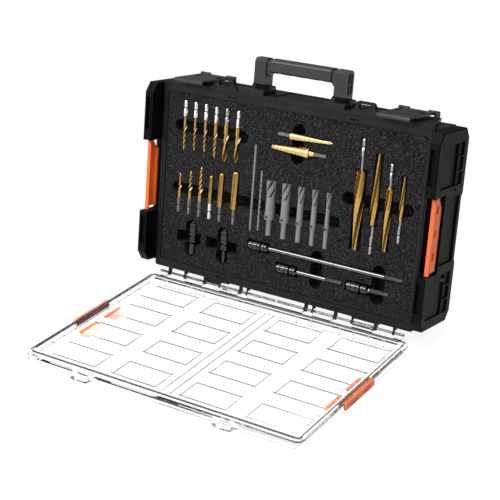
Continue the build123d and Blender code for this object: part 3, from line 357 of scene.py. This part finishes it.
def ring_mesh(name, rings, mats, closed=False):
    """A mesh from rings of equal length, whose material index may be one per face."""
    count = len(rings[0][1])
    verts = [(r * math.cos(a), r * math.sin(a), z) for z, radii, _ in rings
             for r, a in zip(radii, angles(count))]
    faces, index = [], []

    def face(ring, k, corners):
        mat = rings[ring][2]
        faces.append(corners)
        index.append(mat if isinstance(mat, int) else mat[k])

    for i in range(len(rings) if closed else len(rings) - 1):
        a, b = i * count, (i + 1) % len(rings) * count
        for k in range(count):
            n = (k + 1) % count
            face(i, k, (a + k, a + n, b + n, b + k))
    if not closed:
        for i in (0, len(rings) - 1):
            a, centre = i * count, len(verts)
            verts.append((0, 0, rings[i][0]))
            for k in range(count):
                n = (k + 1) % count
                face(i, k, (a + n, a + k, centre) if i == 0 else (a + k, a + n, centre))
    mesh = bpy.data.meshes.new(name)
    mesh.from_pydata(verts, [], faces)
    mesh.polygons.foreach_set("material_index", index)
    mesh.polygons.foreach_set("use_smooth", [True] * len(faces))
    mesh.set_sharp_from_angle(angle=SHARP)
    for mat in mats:
        mesh.materials.append(mat)
    mesh.update()
    return mesh


def flute(angle, cut):
    """Share of the radius left at an angle: 1 on the lands, 1 - depth in the flutes."""
    count, depth, land = cut
    share = (angle * count / (2 * math.pi)) % 1.0
    if share < land:
        return 1.0
    inside = (share - land) / (1 - land)
    return 1.0 - depth * math.sin(math.pi * inside) ** 0.8


def cut_ring(z, radius, turn, cut):
    """A ring with flutes, turned by an angle."""
    return (z, [radius * flute(a - turn, cut) for a in angles()], BODY)


def with_flute_shade(rings, share=FLUTE_SHADE_SHARE):
    """The same rings with the floors of their flutes in the third material, as painted shade."""
    out = []
    for z, radii, mat in rings:
        limit = share * max(radii)
        out.append((z, radii, [FLUTE_SHADE if r < limit else mat for r in radii]))
    return out


def hex_rings(z, length, mat):
    """A hex drive end with a bevelled tip and a ring groove painted dark as its shade."""
    groove = min(GROOVE_AT, length / 2)
    profile = ((0.0, END_R, mat), (0.7, END_BEVEL_R, mat), (groove - 1.6, UNCUT, mat),
               # The groove's floor takes the dark material as painted shade.
               (groove - 0.9, GROOVE_R, DARK), (groove + 0.9, GROOVE_R, mat),
               (groove + 1.6, UNCUT, mat), (length, UNCUT, mat))
    return [(z + at, [min(cut, hex_radius(a, HEX_AF)) for a in angles()], m)
            for at, cut, m in profile]


def round_rings(z, length, r0, r1, mat, bevel):
    """A straight or conical length with rings near its ends, which keep its edges crisp."""
    edge = min(bevel, length / 4)
    change = (r1 - r0) * edge / length
    return [(z + at, [r] * AROUND, mat) for at, r in
            ((OFF_END, r0), (edge, r0 + change), (length - edge, r1 - change), (length, r1))]


def band_rings(z, length, radius, edge, drop, mat):
    """A round band with bevelled ends."""
    return [(z + at, [radius - low] * AROUND, mat) for at, low in
            ((0.0, drop), (edge, 0.0), (length - edge, 0.0), (length, drop))]


def twist_rings(z, length, r0, r1, cut, turn, step, start=0.0):
    """A fluted length that turns by turn over its length."""
    steps = max(2, int(length / step))
    return [cut_ring(z + length * i / steps, r0 + (r1 - r0) * i / steps,
                     start + turn * i / steps, cut) for i in range(steps + 1)]


def spear_rings(z, length, radius):
    """A fluted length with a swelling outline."""
    profile = [(z + length * share, radius * swell, SPEAR_TURN * share) for share, swell in SPEAR]
    out = []
    for (z0, r0, t0), (z1, r1, t1) in zip(profile, profile[1:]):
        steps = max(2, int((z1 - z0) / SPEAR_STEP))
        for i in range(steps):
            f = i / steps
            out.append(cut_ring(z0 + (z1 - z0) * f, r0 + (r1 - r0) * smooth(f),
                                t0 + (t1 - t0) * f, SPEAR_CUT))
    return out + [cut_ring(*profile[-1], SPEAR_CUT)]


def reamer_rings(z, length, r0, r1):
    """A reamer's body: a short swell, then a long taper."""
    swell = SWELL * length
    first = twist_rings(z, swell, SWELL_FROM * r0, r0, REAMER_CUT, SWELL_TURN, REAMER_STEP)
    rest = twist_rings(z + swell, length - swell, r0, r1, REAMER_CUT, REAMER_TURN, REAMER_STEP,
                       SWELL_TURN)
    return first + rest[1:]


def step_rings(z, length, r0, r1, count):
    """A step bit's body: steps with bevelled edges and two cut flutes."""
    radii = [r0 + (r1 - r0) * i / (count - 1) for i in range(count)]
    out = []
    for i, radius in enumerate(radii):
        after = radii[min(i + 1, count - 1)]
        a, b = z + length * i / count, z + length * (i + 1) / count
        for at, r in ((a, radius), (b - STEP_LAND, radius),
                      (b - STEP_BEVEL, (radius + after) / 2), (b, after - STEP_DROP)):
            out.append(cut_ring(at, r, STEP_TURN * (at - z) / length, STEP_CUT))
    return out


def segment_rings(form, z, length, r0, r1):
    """The rings of one segment; the forms not named here are plain round lengths."""
    if form == "hex":
        return hex_rings(z, length, BRIGHT)
    if form == "grey_hex":
        return hex_rings(z, length, DARK)
    if form == "drill":
        return with_flute_shade(twist_rings(z, length, r0, r1, DRILL_CUT, 0.33 * length, 0.7))
    if form == "spear":
        return with_flute_shade(spear_rings(z, length, r0))
    if form == "pilot":
        return twist_rings(z, length, r0, r1, PILOT_CUT, 0.34 * length, 0.9)
    if form == "taper":
        return with_flute_shade(twist_rings(z, length, r0, r1, TAPER_CUT, 0.008 * length, 2.0), TAPER_FLUTE_SHADE_SHARE)
    if form == "cutter":
        return with_flute_shade(twist_rings(z, length, r0, r1, CUTTER_CUT, 1.9, 0.7, 0.6))
    if form == "reamer":
        return with_flute_shade(reamer_rings(z, length, r0, r1))
    if form == "dome":
        return [(z + length * math.sin(t), [r1 + (r0 - r1) * math.cos(t)] * AROUND, BODY)
                for t in DOME_ANGLES]
    if form in STEP_COUNTS:
        return step_rings(z, length, r0, r1, STEP_COUNTS[form])
    if form == "band":
        return band_rings(z, length, r0, BAND_EDGE, BAND_DROP, BODY)
    return round_rings(z, length, r0, r1, ROUND_MATS.get(form, BODY),
                       COLLAR_EDGE if form == "collar" else EDGE)


def socket_rings(z):
    """From a chuck's end face into its hex socket."""
    socket = [hex_radius(a, HEX_AF + SOCKET_PLAY) for a in angles()]
    return [(z + OFF_END, [SOCKET_R] * AROUND, DARK), (z - SOCKET_BEVEL, socket, DARK),
            (z - SOCKET_DEEP, socket, DARK)]


# The tools: x and z of the start in the case, direction, segments, depth of the axis in the foam,
# and the blade (start, reach, root). A segment is (form, length, first radius, last radius).

AXIS_DEEP, ADAPTOR_DEEP = 1.0, 8.5
HEX_LEN = 27.0
TAP_NECK, TAP_TIP = 15.0, 4.0
COUNTERSINK_NECK, COUNTERSINK_TIP, COUNTERSINK_BLADE = 12.0, 3.0, 43.0
DOME_LEN, SHOULDER = 2.5, 3.0
CUTTER_Z, PILOT_R = 100.5, 1.9


def tool(x, z, way, segments, deep=AXIS_DEEP, blade=None):
    """One row of the table of tools."""
    return (x, z, way, segments, deep, blade)


def tap_bit(x, top, tip, neck_r, flare_r, tap_r, drill_r, form):
    """Drill, tap and countersink in one bit; the countersink's edge is its blade."""
    cut = top - tip - HEX_LEN - TAP_NECK - TAP_TIP
    return tool(x, top, "down", [("hex", HEX_LEN, 0, 0), ("neck", TAP_NECK, neck_r, tap_r * 1.05),
                                 (form, cut, tap_r, drill_r), ("tip", TAP_TIP, drill_r, 0.4)],
                blade=(HEX_LEN + TAP_NECK, flare_r, tap_r))


def countersink_bit(x, base, tip, neck_r, flare_r, drill_r):
    """A twist drill with a countersink."""
    cut = tip - base - HEX_LEN - COUNTERSINK_NECK - COUNTERSINK_TIP
    return tool(x, base, "up", [("hex", HEX_LEN, 0, 0), ("neck", COUNTERSINK_NECK, neck_r, neck_r),
                                ("drill", cut, drill_r * 1.25, drill_r),
                                ("tip", COUNTERSINK_TIP, drill_r, 0.3)],
                blade=(COUNTERSINK_BLADE, flare_r, neck_r))


def taper_bit(x, base, tip, low_r, top_r):
    """A straight tapered bit with a rounded end."""
    cut = tip - base - HEX_LEN - DOME_LEN
    return tool(x, base, "up", [("hex", HEX_LEN, 0, 0), ("taper", cut, low_r, top_r),
                                ("dome", DOME_LEN, top_r, top_r * 0.45)])


def end_cutter(x, head_r, body_r, shank_r):
    """A grey spiral cutter."""
    return tool(x, CUTTER_Z, "up", [("plain", 27.5, shank_r, shank_r),
                                    ("collar", 11.0, body_r + 0.5, body_r + 0.5),
                                    ("plain", 28.0, body_r, body_r * 0.96),
                                    ("cutter", 27.0, body_r * 0.96, head_r),
                                    ("pilot_end", 10.0, PILOT_R, PILOT_R),
                                    ("pilot_end", 2.5, PILOT_R, 0.3)])


def reamer(x, z, way, shank, neck, body, wide_r, tip_r):
    """A long tapered reamer."""
    return tool(x, z, way, [("hex", shank, 0, 0), ("bright", neck, 2.4, 2.4),
                            ("shoulder", SHOULDER, 3.0, wide_r),
                            ("reamer", body - SHOULDER, wide_r, tip_r)])


def chuck(*rod):
    """Rod segments, then a quick chuck's rear body and seat."""
    return [*rod, ("chuck", 3.0, 4.4, 7.6), ("band", 3.5, 8.2, 8.2), ("chuck", 1.4, 7.2, 7.2),
            ("band", 4.0, 8.2, 8.2), ("seat", CHUCK_TAIL, SEAT_R, SEAT_R)]


TOOLS = {
    "tap_bit_1": tap_bit(-210.0, 300.5, 214.5, 2.5, 5.5, 2.9, 2.4, "drill"),
    "tap_bit_2": tap_bit(-188.8, 300.5, 216.5, 2.3, 4.6, 2.6, 2.1, "drill"),
    "tap_bit_3": tap_bit(-167.4, 300.5, 217.0, 2.7, 5.0, 2.9, 2.5, "drill"),
    "tap_bit_4": tap_bit(-146.0, 298.5, 211.0, 3.3, 5.4, 3.4, 2.8, "drill"),
    "tap_bit_5": tap_bit(-124.6, 299.0, 207.0, 4.4, 7.6, 4.4, 3.6, "spear"),
    "tap_bit_6": tap_bit(-101.6, 298.5, 209.5, 3.8, 8.0, 4.0, 3.4, "spear"),
    "countersink_bit_1": countersink_bit(-213.5, 104.0, 173.5, 2.6, 5.2, 2.0),
    "countersink_bit_2": countersink_bit(-191.5, 104.0, 180.5, 2.9, 6.0, 2.3),
    "countersink_bit_3": countersink_bit(-170.0, 104.0, 191.5, 3.2, 6.8, 2.7),
    "taper_bit_1": taper_bit(-148.2, 104.0, 180.0, 4.2, 3.2),
    "taper_bit_2": taper_bit(-127.0, 103.0, 188.0, 5.6, 4.6),
    "taper_bit_3": taper_bit(-98.6, 104.0, 196.0, 6.6, 6.0),
    "pilot_rod": tool(-63.6, 101.5, "up", [("bright", 146.5, 2.1, 2.1)]),
    "pilot_drill": tool(-48.3, 104.0, "up", [("plain", 24.0, PILOT_R, PILOT_R),
                                             ("pilot", 77.0, PILOT_R, PILOT_R),
                                             ("plain", 3.0, PILOT_R, 0.2)]),
    "end_cutter_1": end_cutter(-26.8, 9.6, 8.5, 5.0),
    "end_cutter_2": end_cutter(2.4, 8.4, 7.6, 4.8),
    "end_cutter_3": end_cutter(31.0, 6.6, 5.7, 4.6),
    "end_cutter_4": end_cutter(57.2, 6.2, 4.9, 4.1),
    "end_cutter_5": end_cutter(82.6, 4.6, 3.8, 3.9),
    "step_bit_small": tool(-22.0, 274.0, "right", [("hex", 25.0, 0, 0), ("ferrule", 5.5, 6.4, 6.4),
                                                   ("steps9", 66.0, 5.9, 3.0),
                                                   ("tip", 5.5, 2.8, 0.8)]),
    "step_bit_large": tool(70.8, 251.0, "left", [("hex", 22.5, 0, 0), ("ferrule", 8.0, 3.8, 5.2),
                                                 ("ferrule", 6.0, 9.2, 9.2),
                                                 ("steps10", 60.0, 8.7, 4.8),
                                                 ("tip", 5.5, 4.5, 3.8)]),
    "reamer_1": reamer(137.0, 292.0, "down", 27.0, 22.0, 132.5, 9.6, 4.2),
    "reamer_2": reamer(166.0, 109.5, "up", 29.0, 16.5, 117.0, 6.8, 2.4),
    "reamer_3": reamer(189.8, 260.5, "down", 25.0, 11.5, 105.0, 6.6, 3.8),
    "reamer_4": reamer(213.2, 137.5, "up", 28.0, 8.0, 71.0, 4.5, 1.6),
    "extension_long": tool(228.0, 77.6, "left", chuck(("grey_hex", 32.0, 0, 0),
                                                      ("bright", 218.1, 4.1, 4.1))),
    "extension_mid": tool(120.0, 49.6, "left", chuck(("grey_hex", 30.0, 0, 0),
                                                     ("bright", 54.1, 4.2, 4.2))),
    "extension_short": tool(206.5, 49.6, "left", chuck(("grey_hex", 33.1, 0, 0),
                                                       ("bright", 3.0, 4.4, 4.4))),
    "chuck_adaptor_left": tool(-183.6, 33.0, "up", chuck(("chuck", 18.6, 7.0, 7.0)),
                               ADAPTOR_DEEP),
    "chuck_adaptor_right": tool(-117.2, 30.5, "up", chuck(("chuck", 20.6, 4.6, 4.6)),
                                ADAPTOR_DEEP),
}
SLEEVES = {"extension_long": "sleeve_long", "extension_mid": "sleeve_mid",
           "extension_short": "sleeve_short", "chuck_adaptor_left": "sleeve_left",
           "chuck_adaptor_right": "sleeve_right"}
WAYS = {"up": Matrix.Identity(4), "down": Matrix.Rotation(math.pi, 4, "X"),
        "right": Matrix.Rotation(math.pi / 2, 4, "Y"),
        "left": Matrix.Rotation(-math.pi / 2, 4, "Y")}

# Bright, body, dark and third material, the third being painted shade on flute floors, by how the
# tool's name starts
TOOL_MATS = (
    ("tap_bit_5", ("mid_steel", "gold", "matt_black", "gold_dark")),
    ("tap_bit", ("white_steel", "gold", "matt_black", "gold_dark")),
    ("countersink_bit", ("shank", "gold", "matt_black", "gold_dark")),
    ("taper_bit_1", ("white_steel", "gold", "matt_black", "gold_brown")),
    ("taper_bit", ("shank", "gold", "matt_black", "gold_brown")),
    ("reamer", ("mid_steel", "gold", "matt_black", "gold_dark")),
    ("step_bit", ("shank", "gold_light", "shank", "gold_brown")),
    ("end_cutter", ("grey_steel", "grey_steel", "matt_black", "dark_steel")),
    ("pilot_drill", ("grey_steel", "grey_steel", "matt_black", "dark_steel")),
    ("pilot_rod", ("grey_steel", "grey_steel", "matt_black", "grey_steel")),
    ("extension", ("steel", "black_steel", "dark_steel", "steel")),
    ("chuck_adaptor", ("black_steel", "black_steel", "black_steel", "black_steel")),
)

# Blade: rise per reach, its shift on bits that point down, and where it lies across the bit
BLADE_RISE, BLADE_SHIFT, BLADE_OFF, BLADE_BACK, BLADE_FRONT = 1.15, 1.5, 0.55, 0.9, 0.5

# Set screw: height on the cutter, turn, radius, points, and reach inside and past the collar
SCREW_Z, SCREW_TURN, SCREW_R, SCREW_POINTS = 32.5, math.radians(-97), 2.5, 16
SCREW_IN, SCREW_OUT = 1.5, 0.3

# Sleeve: its three bands, the grooves between them and its bore
SLEEVE_BANDS = ((0.0, 4.4), (5.7, 14.4), (15.7, SLEEVE_LEN))
SLEEVE_GAP, SLEEVE_EDGE, SLEEVE_GROOVE, GROOVE_LIP, GROOVE_WIDE = 0.5, 0.45, 1.1, 0.1, 1.2
BORE_R, BORE_MOUTH_R, BORE_EDGE = SEAT_R + 0.35, SEAT_R + 0.9, 0.5


def tool_mats(name):
    """The materials of a tool, from the first row that fits its name."""
    return next([M[key] for key in keys] for start, keys in TOOL_MATS if name.startswith(start))


def solid_mesh(name, lower, upper, mat):
    """A closed prism between two loops of points."""
    count = len(lower)
    faces = [tuple(reversed(range(count))), tuple(range(count, 2 * count))]
    faces += [(k, (k + 1) % count, count + (k + 1) % count, count + k) for k in range(count)]
    return plain_mesh(name, lower + upper, faces, mat, outward=True)


def blade_mesh(name, start, reach, root, way):
    """The countersink's flare as a thin slanting blade on one side, in light gold as a painted
    highlight.
    """
    rise = BLADE_RISE * reach
    if way == "down":
        start, rise = start + BLADE_SHIFT + rise, -rise
    side = [(0.2 * root, start), (reach, start + rise), (reach - 0.3, start + 0.62 * rise),
            (0.9 * root, start - 0.25 * rise)]
    face = -1 if way == "down" else 1
    loops = [[(x, face * (y - BLADE_OFF * root), z) for x, z in side]
             for y in (-BLADE_BACK, BLADE_FRONT)]
    return solid_mesh(name, *loops, "gold_edge")


def screw_mesh(name, radius):
    """The set screw in a cutter's collar, on its front left."""
    out = Vector((math.cos(SCREW_TURN), math.sin(SCREW_TURN), 0))
    side = Vector((-math.sin(SCREW_TURN), math.cos(SCREW_TURN), 0))
    loops = [[tuple(out * reach + side * SCREW_R * math.cos(a)
                    + Vector((0, 0, SCREW_Z + SCREW_R * math.sin(a))))
              for a in angles(SCREW_POINTS)] for reach in (radius - SCREW_IN, radius + SCREW_OUT)]
    return solid_mesh(name, *loops, "matt_black")


def sleeve_mesh(name, end):
    """The sliding sleeve: three bands with grooves between them, and its bore."""
    z0 = end - CHUCK_TAIL + SLEEVE_TRAVEL + SLEEVE_GAP
    z1 = z0 + SLEEVE_LEN
    rings = []
    for low, high in SLEEVE_BANDS:
        rings += band_rings(z0 + low, high - low, SLEEVE_R, SLEEVE_EDGE, SLEEVE_EDGE, 0)
        if high < SLEEVE_LEN:
            rings += [(z0 + high + at, [SLEEVE_R - SLEEVE_GROOVE] * AROUND, 0)
                      for at in (GROOVE_LIP, GROOVE_WIDE)]
    rings += [(z, [r] * AROUND, 0) for z, r in
              ((z1, BORE_MOUTH_R), (z1 - BORE_EDGE, BORE_R), (z0, BORE_R))]
    return ring_mesh(name, rings, [M["black_steel"]], closed=True)


def make_tools():
    """Every tool and sleeve as a detailed piece in place of its plain solid."""
    for name, (x, z, way, segments, deep, blade) in TOOLS.items():
        rings, at = [], 0.0
        for form, length, r0, r1 in segments:
            rings += segment_rings(form, at, length, r0, r1)
            at += length
        if name in SLEEVES:
            rings += socket_rings(at)
        place = CASE @ Matrix.Translation((x, FOAM_Y + deep, z)) @ WAYS[way]
        add(name + "_detail", ring_mesh(name + "_detail", rings, tool_mats(name)), place, name,
            (name,))
        if blade:
            add(name + "_blade", blade_mesh(name + "_blade", *blade, way), place, name)
        if name.startswith("end_cutter"):
            collar_r = segments[1][2]
            add(name + "_screw", screw_mesh(name + "_screw", collar_r), place, name)
        if name in SLEEVES:
            sleeve = SLEEVES[name]
            add(sleeve + "_detail", sleeve_mesh(sleeve + "_detail", at), place, sleeve,
                (sleeve,))


# Details of the clear lid: x across it, l from the hinge to its front edge, h up from the ground

# Seal's lips: offset from the middle of the groove, width and top
LIPS = ((-1.45, 0.9, SEAL_TOP), (1.8, 0.6, SEAL_TOP + 0.5))
LIP_FOOT = SEAL_TOP - 1.4
CORNER_STEPS = 8

# Boxes are (x0, x1, l0, l1, h0, h1)
BOX_FACES = ((0, 3, 2, 1), (4, 5, 6, 7), (0, 1, 5, 4), (1, 2, 6, 5), (2, 3, 7, 6), (3, 0, 4, 7))
END_RIB_PITCH, END_RIB_HALF, SIDE_RIB_PITCH, SIDE_RIB_X, SIDE_RIB_HALF = 27.0, 0.7, 28.0, 240.5, 2.6
RIBS = ([(END_RIB_PITCH * i - END_RIB_HALF, END_RIB_PITCH * i + END_RIB_HALF, 19.2, 23.5, 3.5, 14.5)
         for i in range(-8, 9)]
        + [(side * SIDE_RIB_X - SIDE_RIB_HALF, side * SIDE_RIB_X + SIDE_RIB_HALF,
            40 + SIDE_RIB_PITCH * i, 41.2 + SIDE_RIB_PITCH * i, 3.5, 12.0)
           for side in (-1, 1) for i in range(10)])
BARS = ((231.5, 236.5, 131, 170, 3.2, 5.4), (231.5, 236.5, 190, 234, 3.2, 5.4))
PANELS = ((215.0, 230.5, 130, 168, 3.2, 3.9), (213.0, 230.5, 196, 240, 3.2, 3.9))
CATCH_PARTS = (("lid_catch_left", -1, "_bars", BARS, "pale_orange"),
               ("lid_catch_left", -1, "_panels", PANELS, "pink_clear"),
               ("lid_catch_right", 1, "_bars", BARS, "pale_orange"))


def ring_path(half_x, l0, l1, radius):
    """Points of a rounded rectangle in the lid's frame."""
    points = []
    for cx, cl, first in ((half_x - radius, l1 - radius, 0), (radius - half_x, l1 - radius, 90),
                          (radius - half_x, l0 + radius, 180), (half_x - radius, l0 + radius, 270)):
        for i in range(CORNER_STEPS + 1):
            a = math.radians(first + 90 * i / CORNER_STEPS)
            points.append((cx + radius * math.cos(a), cl + radius * math.sin(a)))
    return points


def seal_lip(offset, width, low, high):
    """One lip of the seal, as a closed ring beside the middle of the groove."""
    loops = []
    for side, h in ((-1, low), (1, low), (1, high), (-1, high)):
        grow = offset + side * width / 2
        path = ring_path(SEAL_X + grow, SEAL_L0 - grow, SEAL_L1 + grow, SEAL_R + grow)
        loops.append([(x, l, h) for x, l in path])
    count = len(loops[0])
    verts = [v for loop in loops for v in loop]
    faces = [(j * count + k, j * count + (k + 1) % count, (j + 1) % 4 * count + (k + 1) % count,
              (j + 1) % 4 * count + k) for j in range(4) for k in range(count)]
    return verts, faces


def box_mesh(name, boxes, mat, outward=False):
    """Several boxes in one mesh."""
    verts, faces = [], []
    for x0, x1, l0, l1, h0, h1 in boxes:
        faces += [tuple(k + len(verts) for k in face) for face in BOX_FACES]
        verts += [(x, l, h) for h in (h0, h1) for x, l in ((x0, l0), (x1, l0), (x1, l1), (x0, l1))]
    return plain_mesh(name, verts, faces, mat, outward)


def make_lid_details():
    """The seal's two lips, the ribs along the walls and the catches' inner bars and panels."""
    verts, faces = [], []
    for offset, width, high in LIPS:
        more, sides = seal_lip(offset, width, LIP_FOOT, high)
        faces += [tuple(k + len(verts) for k in face) for face in sides]
        verts += more
    add("seal_lips", plain_mesh("seal_lips", verts, faces, "rubber"), LID, "lid",
        ("lid_seal",))

    ribs = add("lid_ribs", box_mesh("lid_ribs", RIBS, "clear_rib"), LID, "lid")
    ribs.visible_shadow = False

    for node, side, form, boxes, mat in CATCH_PARTS:
        mirrored = [(side * x0, side * x1, *rest) for x0, x1, *rest in boxes]
        add(node + form, box_mesh(node + form, mirrored, mat, outward=True), LID, "lid")


# Stage

FLOOR_HALF, FLOOR_Z, FLOOR_GREY, FLOOR_ROUGH = 1.7, -0.0002, 0.60, 0.9
FLOOR_GLOW, GLOW_SHARE = 1.08, 0.86
LIT_FROM = (-0.60, -0.55, 0.58)
LIT_RANGE, LIT_LEVELS = (-0.3, 0.9), (0.06, 1.0)
WHITE = (1, 1, 1, 1)
LIGHT_AT = (0, 0.05, 0.15)
# Name, place, size and power
LAMPS = (("key", (-1.2, -1.8, 2.0), (1.2, 1.2), 48), ("fill", (1.8, -1.2, 0.9), (0.4, 1.4), 3),
         ("top", (0.2, 0.1, 2.2), (1.8, 0.9), 34))


def area_light(name, at, size, power):
    """A soft rectangular lamp that points at the object."""
    data = bpy.data.lights.new(name, "AREA")
    data.shape = "RECTANGLE"
    data.size, data.size_y = size
    data.energy = power
    light = bpy.data.objects.new(name, data)
    light.location = at
    light.rotation_euler = (Vector(LIGHT_AT) - Vector(at)).to_track_quat("-Z", "Y").to_euler()
    bpy.context.scene.collection.objects.link(light)


def calculated(tree, operation, first, second):
    """A maths node on two outputs."""
    node = tree.nodes.new("ShaderNodeMath")
    node.operation = operation
    tree.links.new(first, node.inputs[0])
    tree.links.new(second, node.inputs[1])
    return node.outputs[0]


def sees_background(tree, glossy):
    """1 for camera and transmission rays, and for glossy rays if asked."""
    path = tree.nodes.new("ShaderNodeLightPath").outputs
    sees = calculated(tree, "MAXIMUM", path["Is Camera Ray"], path["Is Transmission Ray"])
    return calculated(tree, "MAXIMUM", sees, path["Is Glossy Ray"]) if glossy else sees


def mix_to_surface(tree, share, lit, white, output):
    """The lit and the white shader, mixed by share, on the output's surface."""
    mix = tree.nodes.new("ShaderNodeMixShader")
    tree.links.new(share, mix.inputs["Fac"])
    tree.links.new(lit, mix.inputs[1])
    tree.links.new(white, mix.inputs[2])
    tree.links.new(mix.outputs["Shader"], tree.nodes[output].inputs["Surface"])


def make_floor():
    """A white floor that keeps a faint shadow: mostly plain white for the rays that see it."""
    mesh = bpy.data.meshes.new("floor")
    corners = ((-1, -1), (1, -1), (1, 1), (-1, 1))
    mesh.from_pydata([(FLOOR_HALF * x, FLOOR_HALF * y, FLOOR_Z) for x, y in corners], [],
                     [(0, 1, 2, 3)])
    floor = bpy.data.objects.new("floor", mesh)
    bpy.context.scene.collection.objects.link(floor)
    mat, tree, bsdf = nodes_of("white_floor")
    bsdf.inputs["Base Color"].default_value = (FLOOR_GREY, FLOOR_GREY, FLOOR_GREY, 1)
    bsdf.inputs["Roughness"].default_value = FLOOR_ROUGH
    glow = tree.nodes.new("ShaderNodeEmission")
    glow.inputs["Color"].default_value = WHITE
    glow.inputs["Strength"].default_value = FLOOR_GLOW
    share = tree.nodes.new("ShaderNodeMath")
    share.operation = "MULTIPLY"
    share.inputs[1].default_value = GLOW_SHARE
    tree.links.new(sees_background(tree, glossy=True), share.inputs[0])
    mix_to_surface(tree, share.outputs[0], bsdf.outputs["BSDF"], glow.outputs["Emission"],
                   "Material Output")
    mesh.materials.append(mat)


def make_world():
    """A world that is white behind the object and lights it mostly from one side."""
    world = bpy.data.worlds.new("world")
    bpy.context.scene.world = world
    world.use_nodes = True
    tree = world.node_tree
    lit = tree.nodes["Background"]
    lit.inputs["Color"].default_value = WHITE
    coord = tree.nodes.new("ShaderNodeTexCoord")
    facing = tree.nodes.new("ShaderNodeVectorMath")
    facing.operation = "DOT_PRODUCT"
    facing.inputs[1].default_value = LIT_FROM
    tree.links.new(coord.outputs["Generated"], facing.inputs[0])
    level = tree.nodes.new("ShaderNodeMapRange")
    level.interpolation_type = "SMOOTHSTEP"
    level.inputs["From Min"].default_value, level.inputs["From Max"].default_value = LIT_RANGE
    level.inputs["To Min"].default_value, level.inputs["To Max"].default_value = LIT_LEVELS
    tree.links.new(facing.outputs["Value"], level.inputs["Value"])
    tree.links.new(level.outputs["Result"], lit.inputs["Strength"])
    white = tree.nodes.new("ShaderNodeBackground")
    white.inputs["Color"].default_value = WHITE
    white.inputs["Strength"].default_value = 1.0
    mix_to_surface(tree, sees_background(tree, glossy=False), lit.outputs["Background"],
                   white.outputs["Background"], "World Output")


make_camera()
bpy.context.scene.view_settings.view_transform = "Standard"
paint_cad_nodes()
make_tools()
make_lid_details()
make_floor()
make_world()
for lamp in LAMPS:
    area_light(*lamp)
